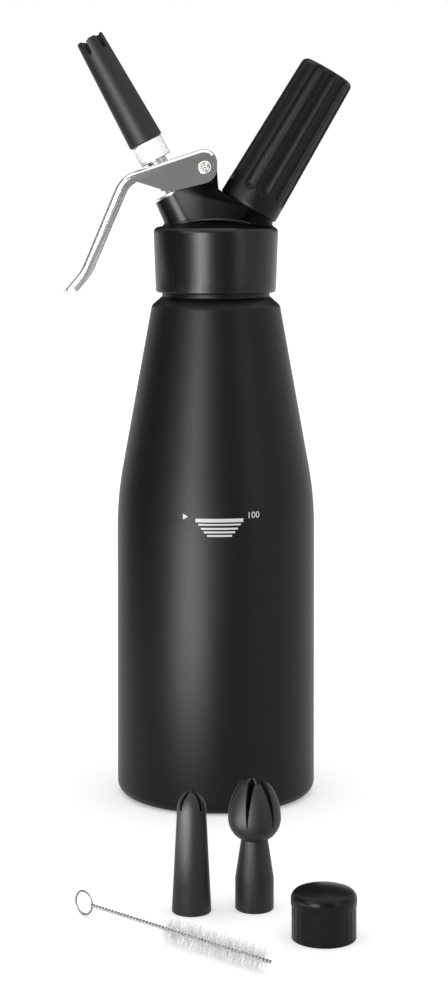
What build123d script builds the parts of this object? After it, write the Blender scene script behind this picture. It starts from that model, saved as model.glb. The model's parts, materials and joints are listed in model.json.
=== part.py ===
from build123d import *
from math import atan2, cos, radians, sin, tan
import os

# Whipped cream dispenser. Millimetres. The bottle stands on Z = 0 with its axis on Z.
# The nozzle leans towards -X, the charger holder towards +X, the front is -Y.

# Fits and gaps
slip = 0.05               # radial clearance of a running fit
free = 0.3                # clearance between pieces that only pass each other
close = 0.02              # radial clearance of a piece that is screwed or pressed home
past = 20.0               # how far a cut runs beyond what it cuts

# Bottle
bottle_radius = 49.0
bottle_wall = 1.8
base_corner = 6.0
base_recess = 3.0
base_land = 8.0           # width of the ring that the bottle stands on
cone_low_height = 147.6   # where the straight cone would meet the cylinder
cone_blend = 165.0
cone_top_height = 242.8
cone_top_radius = 31.9
cone_top_round = 3.0
neck_radius = 26.8
neck_wall = 3.6
shoulder_rise = 4.4       # from the cone's top to the neck's root
neck_root_height = cone_top_height + shoulder_rise
neck_height = 18.8
rim_height = neck_root_height + neck_height

# Head casting
gasket_height = 2.4
collar_gap = 2.1          # dark groove between the bottle's shoulder and the collar
collar_over_rim = 15.3    # the collar's top edge above the bottle's rim
collar_low = neck_root_height + collar_gap
collar_high = rim_height + collar_over_rim
collar_low_radius = 29.9
collar_high_radius = 31.1
collar_round = 2.8
collar_chamfer = 0.8
dome_rise = 5.5
recess_radius = 20.5
recess_height = 8.5       # how far the hollow under the dome reaches above the gasket seat

# Nozzle boss
nozzle_lean = 28.8
mouth_x = -20.7
mouth_over_collar = 17.3
mouth_z = collar_high + mouth_over_collar
boss_radius = 10.5
boss_draft = 6.0          # half angle of the boss's taper
boss_depth = 27.0

# Charger boss and its threaded stud
charger_lean = 30.6
seat_x = 16.0
seat_over_collar = 10.3
seat_z = collar_high + seat_over_collar
charger_boss_radius = 14.6
charger_boss_depth = 17.0
stud_radius = 9.9
stud_height = 13.0
stud_bore = 5.6
stud_bore_depth = 4.0     # below the face that the holder closes on
gas_hole = 1.5
head_blend = 1.6          # fillet where the bosses and the block meet the dome

# Lug and pivot
pivot_x = -5.45
pivot_over_mouth = 12.65
pivot_z = mouth_z + pivot_over_mouth
lug_radius = 5.9
lug_half_width = 10.8
block_in_boss = 0.1       # the block that carries the lug is this much slimmer than the mouth
block_rise = 4.6
block_foot = 0.8
block_inset = 2.0         # the block's foot, past the charger boss's axis
stud_chamfer = 0.8
pivot_radius = 2.2
pivot_head_radius = 3.2
pivot_head_height = 1.2
pivot_wall = 0.9
pivot_chamfer = 0.4

# Lever: a pressed sheet channel
sheet = 1.6
sheet_bend = 2.6          # outside radius of the bend between web and flanges
lug_gap = 0.4             # between the lug and each ear
web_angle = 18.5
web_over_pivot = 9.0
nose_past_pivot = 6.05
handle_angle = 22.9       # from the upright
handle_turn_x = -46.9
tip_turn_drop = 21.3      # bend of the handle's end, below the collar's top edge
tip_turn_z = collar_high - tip_turn_drop
tip_angle = 40.0
tip_length = 15.0
tip_round = 7.0
flange_depth = 5.0
nose_round_top = 6.5
nose_wrap = 38.0          # the web follows the nose down to this angle above the level
nose_round_low = 7.5
ear_low_x = -22.8
ear_low_lift = 0.4
ear_low_z = mouth_z + ear_low_lift
ear_low_angle = 13.9
ear_rise_angle = 17.7
ear_low_round = 9.0
knee_round = 16.0         # bend between web and handle
tip_bend_round = 22.0

# Valve
guide_radius = 7.6
guide_flange_radius = 9.2
guide_flange = 1.2
guide_chamfer = 0.4
guide_depth = 16.0
spring_pocket_radius = 6.3
spring_pocket_depth = 6.0
passage_radius = 6.0
valve_seat_depth = 20.0
valve_seat_radius = 8.5
stem_radius = 4.0
stem_bore = 2.3
stem_land_radius = 6.5
stem_land_height = 2.8
stem_neck_radius = 4.85
stem_top = 26.5
stem_port_radius = 1.4
stem_port_lift = 1.7      # centre of the ports above the floor of the bore
stem_chamfer = 0.45
port_height = -19.4       # floor of the stem's bore
valve_disc_radius = 6.8
valve_disc_height = 3.0
valve_disc_chamfer = 0.75
valve_seal_height = 2.0
o_ring_depths = (8.2, 11.8)
o_ring_groove = 0.9       # depth of the groove in the stem
spring_wire = 1.0
wire_sides = 6            # flats drawn round a thin wire or ring
spring_coils = 4
valve_stroke = 2.7

# Adapter and the decorating tips
adapter_low = 18.7
adapter_height = 10.2
adapter_radius = 8.1
adapter_stem_reach = 8.3  # depth of the threaded hole for the stem
adapter_spigot_radius = 6.2
adapter_spigot_height = 9.0
adapter_bore = 3.0
adapter_chamfer = 0.5
tip_seal_height = 1.2
tip_seal_radius = 7.3
tip_chamfer = 0.5
tip_socket_depth = 10.5
tip_wall = 1.7
tip_bore_radius = 4.6

star_base_radius = 8.8
star_top_radius = 7.0
star_length = 58.6
star_slots = 7
star_slot_width = 2.5
star_slot_turn = -110.7
star_slot_depth = 8.6
star_steps = 2
star_step = 1.1           # height of each small step on a prong's end
star_step_in = 0.4        # how far each step is set in

straight_base_radius = 8.3
straight_shoulder_radius = 6.1
straight_shoulder_height = 43.0
straight_height = 50.3
straight_mouth_radius = 1.6
straight_cuts = 4
straight_cut_width = 1.5
straight_cut_height = 43.2
straight_cut_turn = -48.0

tulip_base_radius = 8.1
tulip_band_height = 13.0
tulip_neck_radius = 5.6
tulip_neck_height = 29.5
tulip_bulb_radius = 11.1
tulip_bulb_height = 38.3
tulip_mouth_radius = 5.6
tulip_height = 53.5
tulip_shoulder_radius = 9.8
tulip_shoulder_share = 0.54   # height of the hollow's shoulder between the bulb and the mouth
tulip_petals = 6
tulip_slot_width = 3.4
tulip_slot_low = 36.5
tulip_slot_low_width = 0.4
tulip_slot_turn = -107.0

# Charger, holder and piercing set
holder_lift = 0.3         # holder's rim above the boss
holder_length = 78.4
holder_base_radius = 15.5
holder_top_radius = 13.9
holder_top_round = 3.0
holder_end = 6.0
sleeve_wall = 1.5
sleeve_end = 1.5
sleeve_bore = 9.4
flute_radius = 2.3
flute_depth = 1.1
flute_low = 7.5
flute_groups = 4
flute_angle = 22.0
flute_group_turn = -105.0  # first flute of the front group
flutes_in_group = 3
gate_radius = 1.2         # moulding mark on the end of the grip
gate_height = 0.6

charger_tip_lift = 4.0
charger_length = 65.5
charger_radius = 9.0
charger_wall = 1.7
charger_neck_radius = 4.3
charger_neck_length = 9.5
charger_shoulder_length = 8.0
charger_end = 4.0         # width and height of the slope at the charger's closed end
pierced_hole = 1.2

pin_radius = 0.9
pin_point_radius = 0.25
pin_point_length = 2.0
pin_reach = 5.6
piercing_flange = 1.6
piercing_gas_hole = 0.5
check_valve_radius = 3.6
check_valve_height = 1.6
check_valve_stalk = 7.0
check_valve_chamfer = 0.8
check_valve_depth = 14.4  # its seat, below the face that the holder closes on

# Pieces that stand beside the bottle
straight_spot = (-9.5, -186.0)
tulip_spot = (16.8, -182.5)
cap_spot = (44.3, -219.0)
brush_spot = (-50.8, -195.0)

cap_radius = 13.4
cap_rim_radius = 14.0
cap_rim_low = 14.0
cap_rim_height = 2.4
cap_height = 19.5
cap_dome_edge = 12.0
cap_rim_slope = 0.8
cap_chamfer = 0.5
cap_bore_height = 14.0

brush_turn = -42.5
brush_length = 98.7
brush_wire_radius = 0.4
brush_loop_radius = 4.8
bristle_radius = 5.5
bristle_start = 43.0
bristle_end = 95.5
bristle_height = 5.5
bristle_chamfer = 1.8


def leaning(point, lean):
    """Frame whose own Z leans to the left of the upright by lean degrees."""
    turn = radians(lean)
    return Plane(
        origin=point,
        x_dir=(cos(turn), 0, sin(turn)),
        z_dir=(-sin(turn), 0, cos(turn)),
    )


def half_section(frame):
    """Drawing plane through the frame's Z: across is radius, up is the frame's own height."""
    return Plane(origin=frame.origin, x_dir=frame.x_dir, z_dir=frame.y_dir * -1)


def spin(frame):
    return Axis(frame.origin, frame.z_dir)


def drum(frame, low, high, outer, inner=0.0):
    """Plain cylinder or ring about the frame's Z, from height low to height high."""
    with BuildPart() as shape:
        with BuildSketch(frame.offset(low)):
            Circle(outer)
            if inner:
                Circle(inner, mode=Mode.SUBTRACT)
        extrude(amount=high - low)
    return shape.part


def turned(frame, *corners):
    """Solid of revolution about the frame's Z from a closed half section."""
    with BuildPart() as shape:
        with BuildSketch(half_section(frame)):
            with BuildLine():
                Polyline(*corners, close=True)
            make_face()
        revolve(axis=spin(frame))
    return shape.part


def bell(frame, low, high, low_radius, high_radius):
    """Cone frustum about the frame's Z."""
    return turned(frame, (0, low), (low_radius, low), (high_radius, high), (0, high))


def crossing(point, angle, other, other_angle):
    """Where a line through point at angle meets a line through other at other_angle."""
    ux, uz = cos(radians(angle)), sin(radians(angle))
    vx, vz = cos(radians(other_angle)), sin(radians(other_angle))
    along = ((other[0] - point[0]) * vz - (other[1] - point[1]) * vx) / (ux * vz - uz * vx)
    return (point[0] + along * ux, point[1] + along * uz)


def beside(point, angle, distance):
    """Point moved to the left of a line that runs at angle."""
    turn = radians(angle + 90)
    return (point[0] + distance * cos(turn), point[1] + distance * sin(turn))


upright = Plane.XY
nozzle = leaning((mouth_x, 0, mouth_z), nozzle_lean)
charger_frame = leaning((seat_x, 0, seat_z), -charger_lean)


# Bottle -----------------------------------------------------------------
def bottle_outline(inset, neck_inset, floor, rounds):
    """Half section of the bottle with its body moved inwards by inset and its neck by neck_inset."""
    slope = atan2(bottle_radius - cone_top_radius, cone_top_height - cone_low_height)
    sink = inset * tan(slope / 2)
    with BuildSketch(Plane.XZ) as outline:
        with BuildLine():
            wall = FilletPolyline(
                (0, floor),
                (bottle_radius - inset, floor),
                (bottle_radius - inset, cone_low_height - sink),
                (cone_top_radius - inset, cone_top_height - sink),
                (neck_radius - neck_inset, neck_root_height - neck_inset),
                (neck_radius - neck_inset, rim_height),
                radius=rounds,
            )
            Polyline(wall @ 1, (0, rim_height), (0, floor))
        make_face()
    return outline.sketch


with BuildPart() as bottle:
    add(bottle_outline(0, 0, 0, (base_corner, cone_blend, cone_top_round, 0)))
    revolve(axis=Axis.Z)
    add(bottle_outline(bottle_wall, neck_wall, base_recess + bottle_wall, (0, 0, 0, 0)))
    revolve(axis=Axis.Z, mode=Mode.SUBTRACT)
    with BuildSketch(upright):
        Circle(bottle_radius - base_land)
    extrude(amount=base_recess, taper=45, mode=Mode.SUBTRACT)


# Head -------------------------------------------------------------------
gasket_top = rim_height + gasket_height
thread_radius = neck_radius + slip
boss_root_radius = boss_radius + boss_depth * tan(radians(boss_draft))

with BuildPart() as head_casting:
    with BuildSketch(Plane.YZ):      # the seam of the round faces the back, clear of both bosses
        with BuildLine():
            skirt = FilletPolyline(
                (0, collar_low),
                (collar_low_radius - collar_chamfer, collar_low),
                (collar_low_radius, collar_low + collar_chamfer),
                (collar_high_radius, collar_high),
                (0, collar_high + dome_rise),
                radius=(0, 0, collar_round),
            )
            Line(skirt @ 1, skirt @ 0)
        make_face()
    revolve(axis=Axis.Z)

    add(bell(nozzle, -boss_depth, 0, boss_root_radius, boss_radius))
    add(drum(charger_frame, -charger_boss_depth, 0, charger_boss_radius))
    with BuildSketch(Plane.XZ):
        with BuildLine():
            Polyline(
                crossing((mouth_x, mouth_z), 90 + nozzle_lean, (0, collar_high), 0),
                (mouth_x, mouth_z),
                beside((mouth_x, mouth_z), nozzle_lean - 90, boss_radius),
                (pivot_x - lug_radius, pivot_z - block_rise / 2),
                (pivot_x - lug_radius, pivot_z),
                (pivot_x + lug_radius, pivot_z),
                (pivot_x + lug_radius + block_foot, seat_z + 2 * block_rise),
                (seat_x - charger_boss_radius * cos(radians(charger_lean)), seat_z + block_rise),
                (seat_x + block_inset, collar_high),
                close=True,
            )
        make_face()
    extrude(amount=boss_radius - block_in_boss, both=True)
    with BuildSketch(Plane.XZ):
        with Locations((pivot_x, pivot_z)):
            Circle(lug_radius)
    extrude(amount=lug_half_width, both=True)
    dome_low = collar_high - collar_round
    creases = [
        edge
        for edge in head_casting.edges()
        if edge.geom_type != GeomType.CIRCLE
        and edge.length > 2 * head_blend
        and edge.bounding_box().min.Z > dome_low
        and edge.bounding_box().max.Z < collar_high + dome_rise
    ]
    fillet(creases, head_blend)

    add(drum(charger_frame, 0, stud_height, stud_radius))
    chamfer(head_casting.faces().sort_by(spin(charger_frame))[-1].edges(), stud_chamfer)
    for frame, low, high, radius in (
        (charger_frame, -stud_bore_depth, stud_height, stud_bore),
        (charger_frame, -charger_boss_depth - recess_height, 0, gas_hole),
        (charger_frame, -charger_boss_depth - recess_height, -check_valve_depth, check_valve_radius + free),
        (nozzle, -guide_depth, 0, guide_radius + close),
        (nozzle, -valve_seat_depth, 0, passage_radius),
        (nozzle, -boss_depth - recess_height, -valve_seat_depth, valve_seat_radius),
        (upright, collar_low, gasket_top, thread_radius),
        (upright, gasket_top, gasket_top + recess_height, recess_radius),
    ):
        add(drum(frame, low, high, radius), mode=Mode.SUBTRACT)
    with BuildSketch(Plane.XZ):
        with Locations((pivot_x, pivot_z)):
            Circle(pivot_radius + close)
    extrude(amount=lug_half_width, both=True, mode=Mode.SUBTRACT)


with BuildPart() as head_gasket:
    with BuildSketch(upright.offset(rim_height)):
        Circle(neck_radius - slip)
        Circle(neck_radius - neck_wall - slip, mode=Mode.SUBTRACT)
    extrude(amount=gasket_height)


# Lever ------------------------------------------------------------------
pivot = (pivot_x, pivot_z)
to_pivot = Vector(pivot_x - mouth_x, 0, pivot_z - mouth_z)
pivot_foot = to_pivot.dot(nozzle.z_dir)      # height on the nozzle axis beside the pivot
lever_arm = to_pivot.dot(nozzle.x_dir)       # from the nozzle axis to the pivot
web_normal = Vector(-sin(radians(web_angle)), 0, cos(radians(web_angle)))
ear_inner = lug_half_width + lug_gap
lever_half_width = ear_inner + sheet
shaft_angle = 90 - handle_angle
tip_run_angle = 90 - tip_angle
web_point = beside(pivot, web_angle, web_over_pivot)
nose_x = pivot_x + nose_past_pivot
nose_line = beside(web_point, web_angle, -nose_round_top)
nose_centre = crossing(nose_line, web_angle, (nose_x - nose_round_top, 0), 90)
web_start = beside(nose_centre, web_angle, nose_round_top)
knee = crossing(web_point, web_angle, (handle_turn_x, 0), 90)
tip_turn = crossing(knee, shaft_angle, (0, tip_turn_z), 0)
tip_end = (
    tip_turn[0] - tip_length * cos(radians(tip_run_angle)),
    tip_turn[1] - tip_length * sin(radians(tip_run_angle)),
)
ear_low = (ear_low_x, ear_low_z)
ear_top = beside(web_point, web_angle, -sheet_bend)
ear_heel = crossing(ear_low, -ear_rise_angle, beside(web_point, web_angle, -flange_depth), web_angle)
pull_angle = valve_stroke / lever_arm
web_on_axis = (web_over_pivot + to_pivot.dot(web_normal)) / web_normal.dot(nozzle.z_dir)
slot_run = pull_angle * (web_on_axis - pivot_foot)

with BuildPart() as lever:
    with BuildLine(Plane.XZ):
        nose_rim = CenterArc(nose_centre, nose_round_top, nose_wrap, 90 + web_angle - nose_wrap)
        FilletPolyline(web_start, knee, tip_turn, tip_end, radius=(knee_round, tip_bend_round))
    start_frame = Plane(origin=nose_rim @ 0, x_dir=(0, -1, 0), z_dir=nose_rim % 0)
    with BuildSketch(start_frame):
        with BuildLine():
            outer = FilletPolyline(
                (-lever_half_width, -flange_depth),
                (-lever_half_width, 0),
                (lever_half_width, 0),
                (lever_half_width, -flange_depth),
                radius=sheet_bend,
            )
            inner = FilletPolyline(
                (-ear_inner, -flange_depth),
                (-ear_inner, -sheet),
                (ear_inner, -sheet),
                (ear_inner, -flange_depth),
                radius=sheet_bend - sheet,
            )
            Line(outer @ 0, inner @ 0)
            Line(outer @ 1, inner @ 1)
        make_face()
    sweep()
    for face_y in (ear_inner, -lever_half_width):
        with BuildSketch(Plane.XZ.offset(face_y)) as ear:
            with BuildLine():
                Polyline(
                    beside(nose_centre, web_angle, nose_round_top - sheet_bend),
                    nose_centre,
                    (nose_x, nose_centre[1]),
                    crossing(ear_low, ear_low_angle, (nose_x, 0), 90),
                    ear_low,
                    ear_heel,
                    crossing(ear_top, web_angle, ear_heel, 90),
                    close=True,
                )
            make_face()
            nose = ear.vertices().group_by(Axis.X)[-1].sort_by(Axis.Y)
            fillet(nose[0], nose_round_low)
            fillet(ear.vertices().sort_by_distance(ear_low)[0], ear_low_round)
            with BuildLine():
                rim = CenterArc(nose_centre, nose_round_top, 0, nose_wrap)
                Line(nose_centre, rim @ 0)
                Line(rim @ 1, nose_centre)
            make_face()
            with Locations(nose_centre):
                Circle(nose_round_top - sheet_bend)
            with Locations(pivot):
                Circle(pivot_radius + slip, mode=Mode.SUBTRACT)
        extrude(amount=sheet)
    with BuildSketch(nozzle.offset(web_on_axis - 2 * sheet)):
        with Locations((slot_run / 2, 0)):
            SlotCenterToCenter(slot_run, 2 * (stem_neck_radius + free))
    extrude(amount=3 * sheet, mode=Mode.SUBTRACT)
    tip_frame = Plane(
        origin=(tip_end[0], 0, tip_end[1]),
        x_dir=(0, -1, 0),
        z_dir=(-sin(radians(tip_run_angle)), 0, cos(radians(tip_run_angle))),
    )
    width = 2 * lever_half_width
    with BuildSketch(tip_frame):
        Rectangle(width + past, 2 * tip_round)
        with Locations((0, lever_half_width)):
            RectangleRounded(width, width, tip_round, mode=Mode.SUBTRACT)
    extrude(amount=past, both=True, mode=Mode.SUBTRACT)


# Pivot ------------------------------------------------------------------
pivot_back = Plane(origin=(pivot_x, 0, pivot_z), x_dir=(1, 0, 0), z_dir=(0, 1, 0))
pivot_front = Plane(origin=(pivot_x, 0, pivot_z), x_dir=(1, 0, 0), z_dir=(0, -1, 0))
head_face = lever_half_width + 2 * slip
barrel_bore = pivot_radius - pivot_wall

with BuildPart() as pivot_barrel:
    add(drum(pivot_back, head_face, head_face + pivot_head_height, pivot_head_radius))
    chamfer(pivot_barrel.edges().group_by(Axis.Y)[-1], pivot_chamfer)
    add(drum(pivot_back, -head_face, head_face, pivot_radius))
    add(drum(pivot_back, -head_face, lug_half_width, barrel_bore), mode=Mode.SUBTRACT)

with BuildPart() as pivot_screw:
    add(drum(pivot_front, head_face, head_face + pivot_head_height, pivot_head_radius))
    chamfer(pivot_screw.edges().group_by(Axis.Y)[0], pivot_chamfer)
    add(drum(pivot_front, -lug_half_width / 2, head_face, barrel_bore - close))


# Valve ------------------------------------------------------------------
land_high = (
    web_on_axis
    - sheet / cos(radians(nozzle_lean - web_angle))
    - stem_land_radius * tan(radians(nozzle_lean - web_angle))
    - free
)
land_low = land_high - stem_land_height
disc_high = -valve_seat_depth - valve_seal_height
disc_low = disc_high - valve_disc_height

with BuildPart() as valve_guide:
    add(drum(nozzle, -guide_depth, 0, guide_radius))
    add(drum(nozzle, 0, guide_flange, guide_flange_radius))
    chamfer(valve_guide.faces().sort_by(spin(nozzle))[-1].edges(), guide_chamfer)
    add(drum(nozzle, -spring_pocket_depth, guide_flange, spring_pocket_radius), mode=Mode.SUBTRACT)
    add(drum(nozzle, -guide_depth, 0, stem_radius + slip), mode=Mode.SUBTRACT)

with BuildPart() as valve_stem:
    add(drum(nozzle, disc_low, land_low, stem_radius))
    add(drum(nozzle, land_low, land_high, stem_land_radius))
    chamfer(valve_stem.faces().sort_by(spin(nozzle))[-1].edges(), stem_chamfer)
    add(drum(nozzle, land_high, stem_top, stem_neck_radius))
    chamfer(valve_stem.faces().sort_by(spin(nozzle))[-1].edges(), stem_chamfer)
    add(drum(nozzle, port_height, stem_top, stem_bore), mode=Mode.SUBTRACT)
    for groove in o_ring_depths:
        low = -groove - o_ring_groove / 2 - slip
        high = -groove + o_ring_groove / 2 + slip
        add(drum(nozzle, low, high, stem_radius, stem_radius - o_ring_groove), mode=Mode.SUBTRACT)
    for across in (nozzle.x_dir, nozzle.y_dir):
        port = Plane(origin=nozzle.offset(port_height + stem_port_lift).origin, z_dir=across)
        with BuildSketch(port):
            Circle(stem_port_radius)
        extrude(amount=stem_radius, both=True, mode=Mode.SUBTRACT)


def o_ring(depth):
    """Ring in the stem groove at depth, just clear of the guide's bore."""
    section = o_ring_groove / 2
    with BuildPart() as ring:
        with BuildSketch(half_section(nozzle)):
            with Locations((stem_radius + slip - close - section, -depth)):
                RegularPolygon(section, wire_sides)
        revolve(axis=spin(nozzle))
    return ring


upper_o_ring = o_ring(o_ring_depths[0])
lower_o_ring = o_ring(o_ring_depths[1])

with BuildPart() as valve_seal:
    add(drum(nozzle, disc_high, -valve_seat_depth, valve_disc_radius, stem_radius + close))

with BuildPart() as valve_nut:
    add(drum(nozzle, disc_low, disc_high, valve_disc_radius, stem_radius + close))
    rim = valve_nut.faces().sort_by(spin(nozzle))[0].edges().sort_by(SortBy.LENGTH)[-1]
    chamfer(rim, valve_disc_chamfer)

with BuildPart() as valve_spring:
    coil_radius = stem_radius + (spring_pocket_radius - stem_radius) / 2
    coil_low = -spring_pocket_depth + spring_wire / 2 + slip
    coil_run = land_low - spring_wire / 2 - slip - coil_low
    with BuildLine():
        coil = Helix(
            coil_run / spring_coils,
            coil_run,
            coil_radius,
            center=nozzle.offset(coil_low).origin,
            direction=nozzle.z_dir,
        )
    with BuildSketch(Plane(origin=coil @ 0, z_dir=coil % 0)):
        RegularPolygon(spring_wire / 2, wire_sides)
    sweep(path=coil, is_frenet=True)


# Adapter and mounted tip ------------------------------------------------
tip_base = adapter_low + adapter_height

with BuildPart() as tip_adapter:
    add(drum(nozzle, adapter_low, tip_base, adapter_radius))
    chamfer(tip_adapter.edges().filter_by(GeomType.CIRCLE), adapter_chamfer)
    add(drum(nozzle, tip_base, tip_base + adapter_spigot_height, adapter_spigot_radius))
    chamfer(tip_adapter.faces().sort_by(spin(nozzle))[-1].edges(), adapter_chamfer)
    for high, radius in (
        (adapter_low + adapter_stem_reach, stem_neck_radius + close),
        (tip_base + adapter_spigot_height, adapter_bore),
    ):
        add(drum(nozzle, adapter_low, high, radius), mode=Mode.SUBTRACT)

with BuildPart() as tip_seal:
    add(drum(nozzle, tip_base, tip_base + tip_seal_height, tip_seal_radius, adapter_spigot_radius + slip))


def tip_socket(frame):
    """Threaded socket and seal recess in the foot of a tip, as a body to cut away."""
    socket = drum(frame, 0, tip_socket_depth, adapter_spigot_radius + slip)
    return socket + drum(frame, 0, tip_seal_height, tip_seal_radius + slip)


star_foot = nozzle.offset(tip_base)
with BuildPart() as star_tip:
    add(bell(star_foot, 0, star_length, star_base_radius, star_top_radius))
    chamfer(star_tip.edges().filter_by(GeomType.CIRCLE), tip_chamfer)
    add(tip_socket(star_foot), mode=Mode.SUBTRACT)
    star_inner = star_top_radius - tip_wall
    add(bell(star_foot, tip_socket_depth, star_length, star_inner, star_inner), mode=Mode.SUBTRACT)
    for step in range(1, star_steps + 1):
        low = star_length - star_step * (star_steps + 1 - step)
        add(drum(star_foot, low, star_length, star_inner + star_step_in * step), mode=Mode.SUBTRACT)
    with BuildSketch(star_foot.offset(star_length - star_slot_depth)):
        with PolarLocations((star_top_radius + past) / 2, star_slots, star_slot_turn):
            Rectangle(star_top_radius + past, star_slot_width)
    extrude(amount=past, mode=Mode.SUBTRACT)


# Spare tips -------------------------------------------------------------
straight_foot = Plane(origin=(*straight_spot, 0))
tulip_foot = Plane(origin=(*tulip_spot, 0))


with BuildPart() as straight_tip:
    dome_start = (straight_shoulder_radius, straight_shoulder_height)
    dome_end = (straight_mouth_radius, straight_height)
    with BuildSketch(half_section(straight_foot)):
        with BuildLine():
            Polyline((0, 0), (straight_base_radius, 0), dome_start)
            TangentArc(dome_start, dome_end, tangent=(0, 1))
            Polyline(dome_end, (0, straight_height), (0, 0))
        make_face()
    revolve(axis=spin(straight_foot))
    chamfer(straight_tip.edges().group_by(Axis.Z)[0], tip_chamfer)
    add(tip_socket(straight_foot), mode=Mode.SUBTRACT)
    straight_bore = straight_shoulder_radius - tip_wall
    straight_top = straight_height - tip_wall
    for low, high, low_radius, high_radius in (
        (tip_socket_depth, straight_shoulder_height, tip_bore_radius, straight_bore),
        (straight_shoulder_height, straight_top, straight_bore, straight_mouth_radius),
    ):
        add(bell(straight_foot, low, high, low_radius, high_radius), mode=Mode.SUBTRACT)
    with BuildSketch(straight_foot.offset(straight_cut_height)):
        with PolarLocations(0, straight_cuts // 2, straight_cut_turn, 180, endpoint=False):
            Rectangle(straight_base_radius + past, straight_cut_width)
    extrude(amount=past, mode=Mode.SUBTRACT)


with BuildPart() as tulip_tip:
    widest = (tulip_bulb_radius, tulip_bulb_height)
    waist = (tulip_neck_radius, tulip_neck_height)
    mouth = (tulip_mouth_radius, tulip_height)
    band = (tulip_base_radius, tulip_band_height)
    with BuildSketch(half_section(tulip_foot)):
        with BuildLine():
            TangentArc(widest, mouth, tangent=(0, 1))
            TangentArc(widest, waist, tangent=(0, -1))
            Polyline(waist, band, (tulip_base_radius, 0), (0, 0), (0, tulip_height), mouth)
        make_face()
    revolve(axis=spin(tulip_foot))
    chamfer(tulip_tip.edges().group_by(Axis.Z)[0], tip_chamfer)
    add(tip_socket(tulip_foot), mode=Mode.SUBTRACT)
    shoulder_height = tulip_bulb_height + tulip_shoulder_share * (tulip_height - tulip_bulb_height)
    hollow = turned(
        tulip_foot,
        (0, tip_socket_depth),
        (tip_bore_radius, tip_socket_depth),
        (tulip_neck_radius - tip_wall, tulip_neck_height),
        (tulip_bulb_radius - tip_wall, tulip_bulb_height),
        (tulip_shoulder_radius - tip_wall, shoulder_height),
        (tulip_mouth_radius - tip_wall, tulip_height),
        (0, tulip_height),
    )
    add(hollow, mode=Mode.SUBTRACT)
    slot_top = tulip_height + tip_wall
    for cut in range(tulip_petals // 2):
        outward = Vector(1, 0, 0).rotate(Axis.Z, tulip_slot_turn + 360 / tulip_petals * cut)
        across = Vector(0, 0, 1).cross(outward)
        with BuildSketch(Plane(origin=tulip_foot.origin, x_dir=across, z_dir=outward)):
            with BuildLine():
                Polyline(
                    (-tulip_slot_low_width / 2, tulip_slot_low),
                    (tulip_slot_low_width / 2, tulip_slot_low),
                    (tulip_slot_width / 2, slot_top),
                    (-tulip_slot_width / 2, slot_top),
                    close=True,
                )
            make_face()
        extrude(amount=past, both=True, mode=Mode.SUBTRACT)


# Charger side -----------------------------------------------------------
holder_foot = charger_frame.offset(holder_lift)
flute_lean = atan2(holder_base_radius - holder_top_radius, holder_length)
grip_bore = sleeve_bore + sleeve_wall
sleeve_high = charger_tip_lift + charger_length + slip + sleeve_end
thread_mouth = stud_radius + slip

with BuildPart() as holder_grip:
    add(bell(holder_foot, 0, holder_length, holder_base_radius, holder_top_radius))
    fillet(holder_grip.faces().sort_by(spin(charger_frame))[-1].edges(), holder_top_round)
    flute_foot = holder_foot.offset(flute_low + flute_radius).origin
    flute_out = holder_base_radius - flute_low * tan(flute_lean) + flute_radius - flute_depth
    for flute in range(flute_groups * flutes_in_group):
        group, place = divmod(flute, flutes_in_group)
        turn = flute_group_turn + 360 / flute_groups * group + flute_angle * place
        across = Vector(1, 0, 0).rotate(Axis.Z, turn)
        outward = charger_frame.x_dir * across.X + charger_frame.y_dir * across.Y
        along = charger_frame.z_dir * cos(flute_lean) - outward * sin(flute_lean)
        start = flute_foot + outward * flute_out
        with BuildSketch(Plane(origin=start, z_dir=along)):
            Circle(flute_radius)
        extrude(amount=holder_length, mode=Mode.SUBTRACT)
        with Locations(start):
            Sphere(flute_radius, mode=Mode.SUBTRACT)
    add(drum(holder_foot, holder_length, holder_length + gate_height, gate_radius))
    add(drum(holder_foot, 0, sleeve_high - holder_lift, grip_bore), mode=Mode.SUBTRACT)

with BuildPart() as holder_sleeve:
    add(drum(charger_frame, holder_lift, sleeve_high, grip_bore - close))
    add(drum(charger_frame, 0, stud_height + 2 * holder_lift, thread_mouth), mode=Mode.SUBTRACT)
    add(drum(charger_frame, 0, sleeve_high - sleeve_end, sleeve_bore), mode=Mode.SUBTRACT)


def charger_shape(inset):
    """Bottle shape of the gas charger with its face moved inwards by inset."""
    foot = charger_frame.offset(charger_tip_lift)
    shoulder = charger_neck_length + charger_shoulder_length
    top = charger_length - inset
    return turned(
        foot,
        (0, inset),
        (charger_neck_radius - inset, inset),
        (charger_neck_radius - inset, charger_neck_length),
        (charger_radius - inset, shoulder),
        (charger_radius - inset, top - charger_end),
        (charger_radius - inset - charger_end, top),
        (0, top),
    )


with BuildPart() as gas_charger:
    add(charger_shape(0))
    add(charger_shape(charger_wall), mode=Mode.SUBTRACT)
    opening = charger_tip_lift + 2 * charger_wall
    add(drum(charger_frame, charger_tip_lift, opening, pierced_hole), mode=Mode.SUBTRACT)

with BuildPart() as piercing_body:
    add(drum(charger_frame, -stud_bore_depth, piercing_flange, stud_bore - close))
    add(drum(charger_frame, -stud_bore_depth, piercing_flange, pin_radius + close), mode=Mode.SUBTRACT)

with BuildPart() as piercing_pin:
    pin_shank = pin_reach - pin_point_length
    add(drum(charger_frame, -stud_bore_depth, pin_shank, pin_radius))
    add(bell(charger_frame, pin_shank, pin_reach, pin_radius, pin_point_radius))
    add(drum(charger_frame, -stud_bore_depth, pin_shank, piercing_gas_hole), mode=Mode.SUBTRACT)
    cross_hole = charger_frame.offset(pin_shank - pin_radius).origin
    with BuildSketch(Plane(origin=cross_hole, z_dir=charger_frame.y_dir)):
        Circle(piercing_gas_hole)
    extrude(amount=pin_radius, both=True, mode=Mode.SUBTRACT)

with BuildPart() as charger_seal:
    seal_top = charger_tip_lift - slip
    add(drum(charger_frame, piercing_flange, seal_top, stud_bore - slip, pin_radius + slip))

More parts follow.
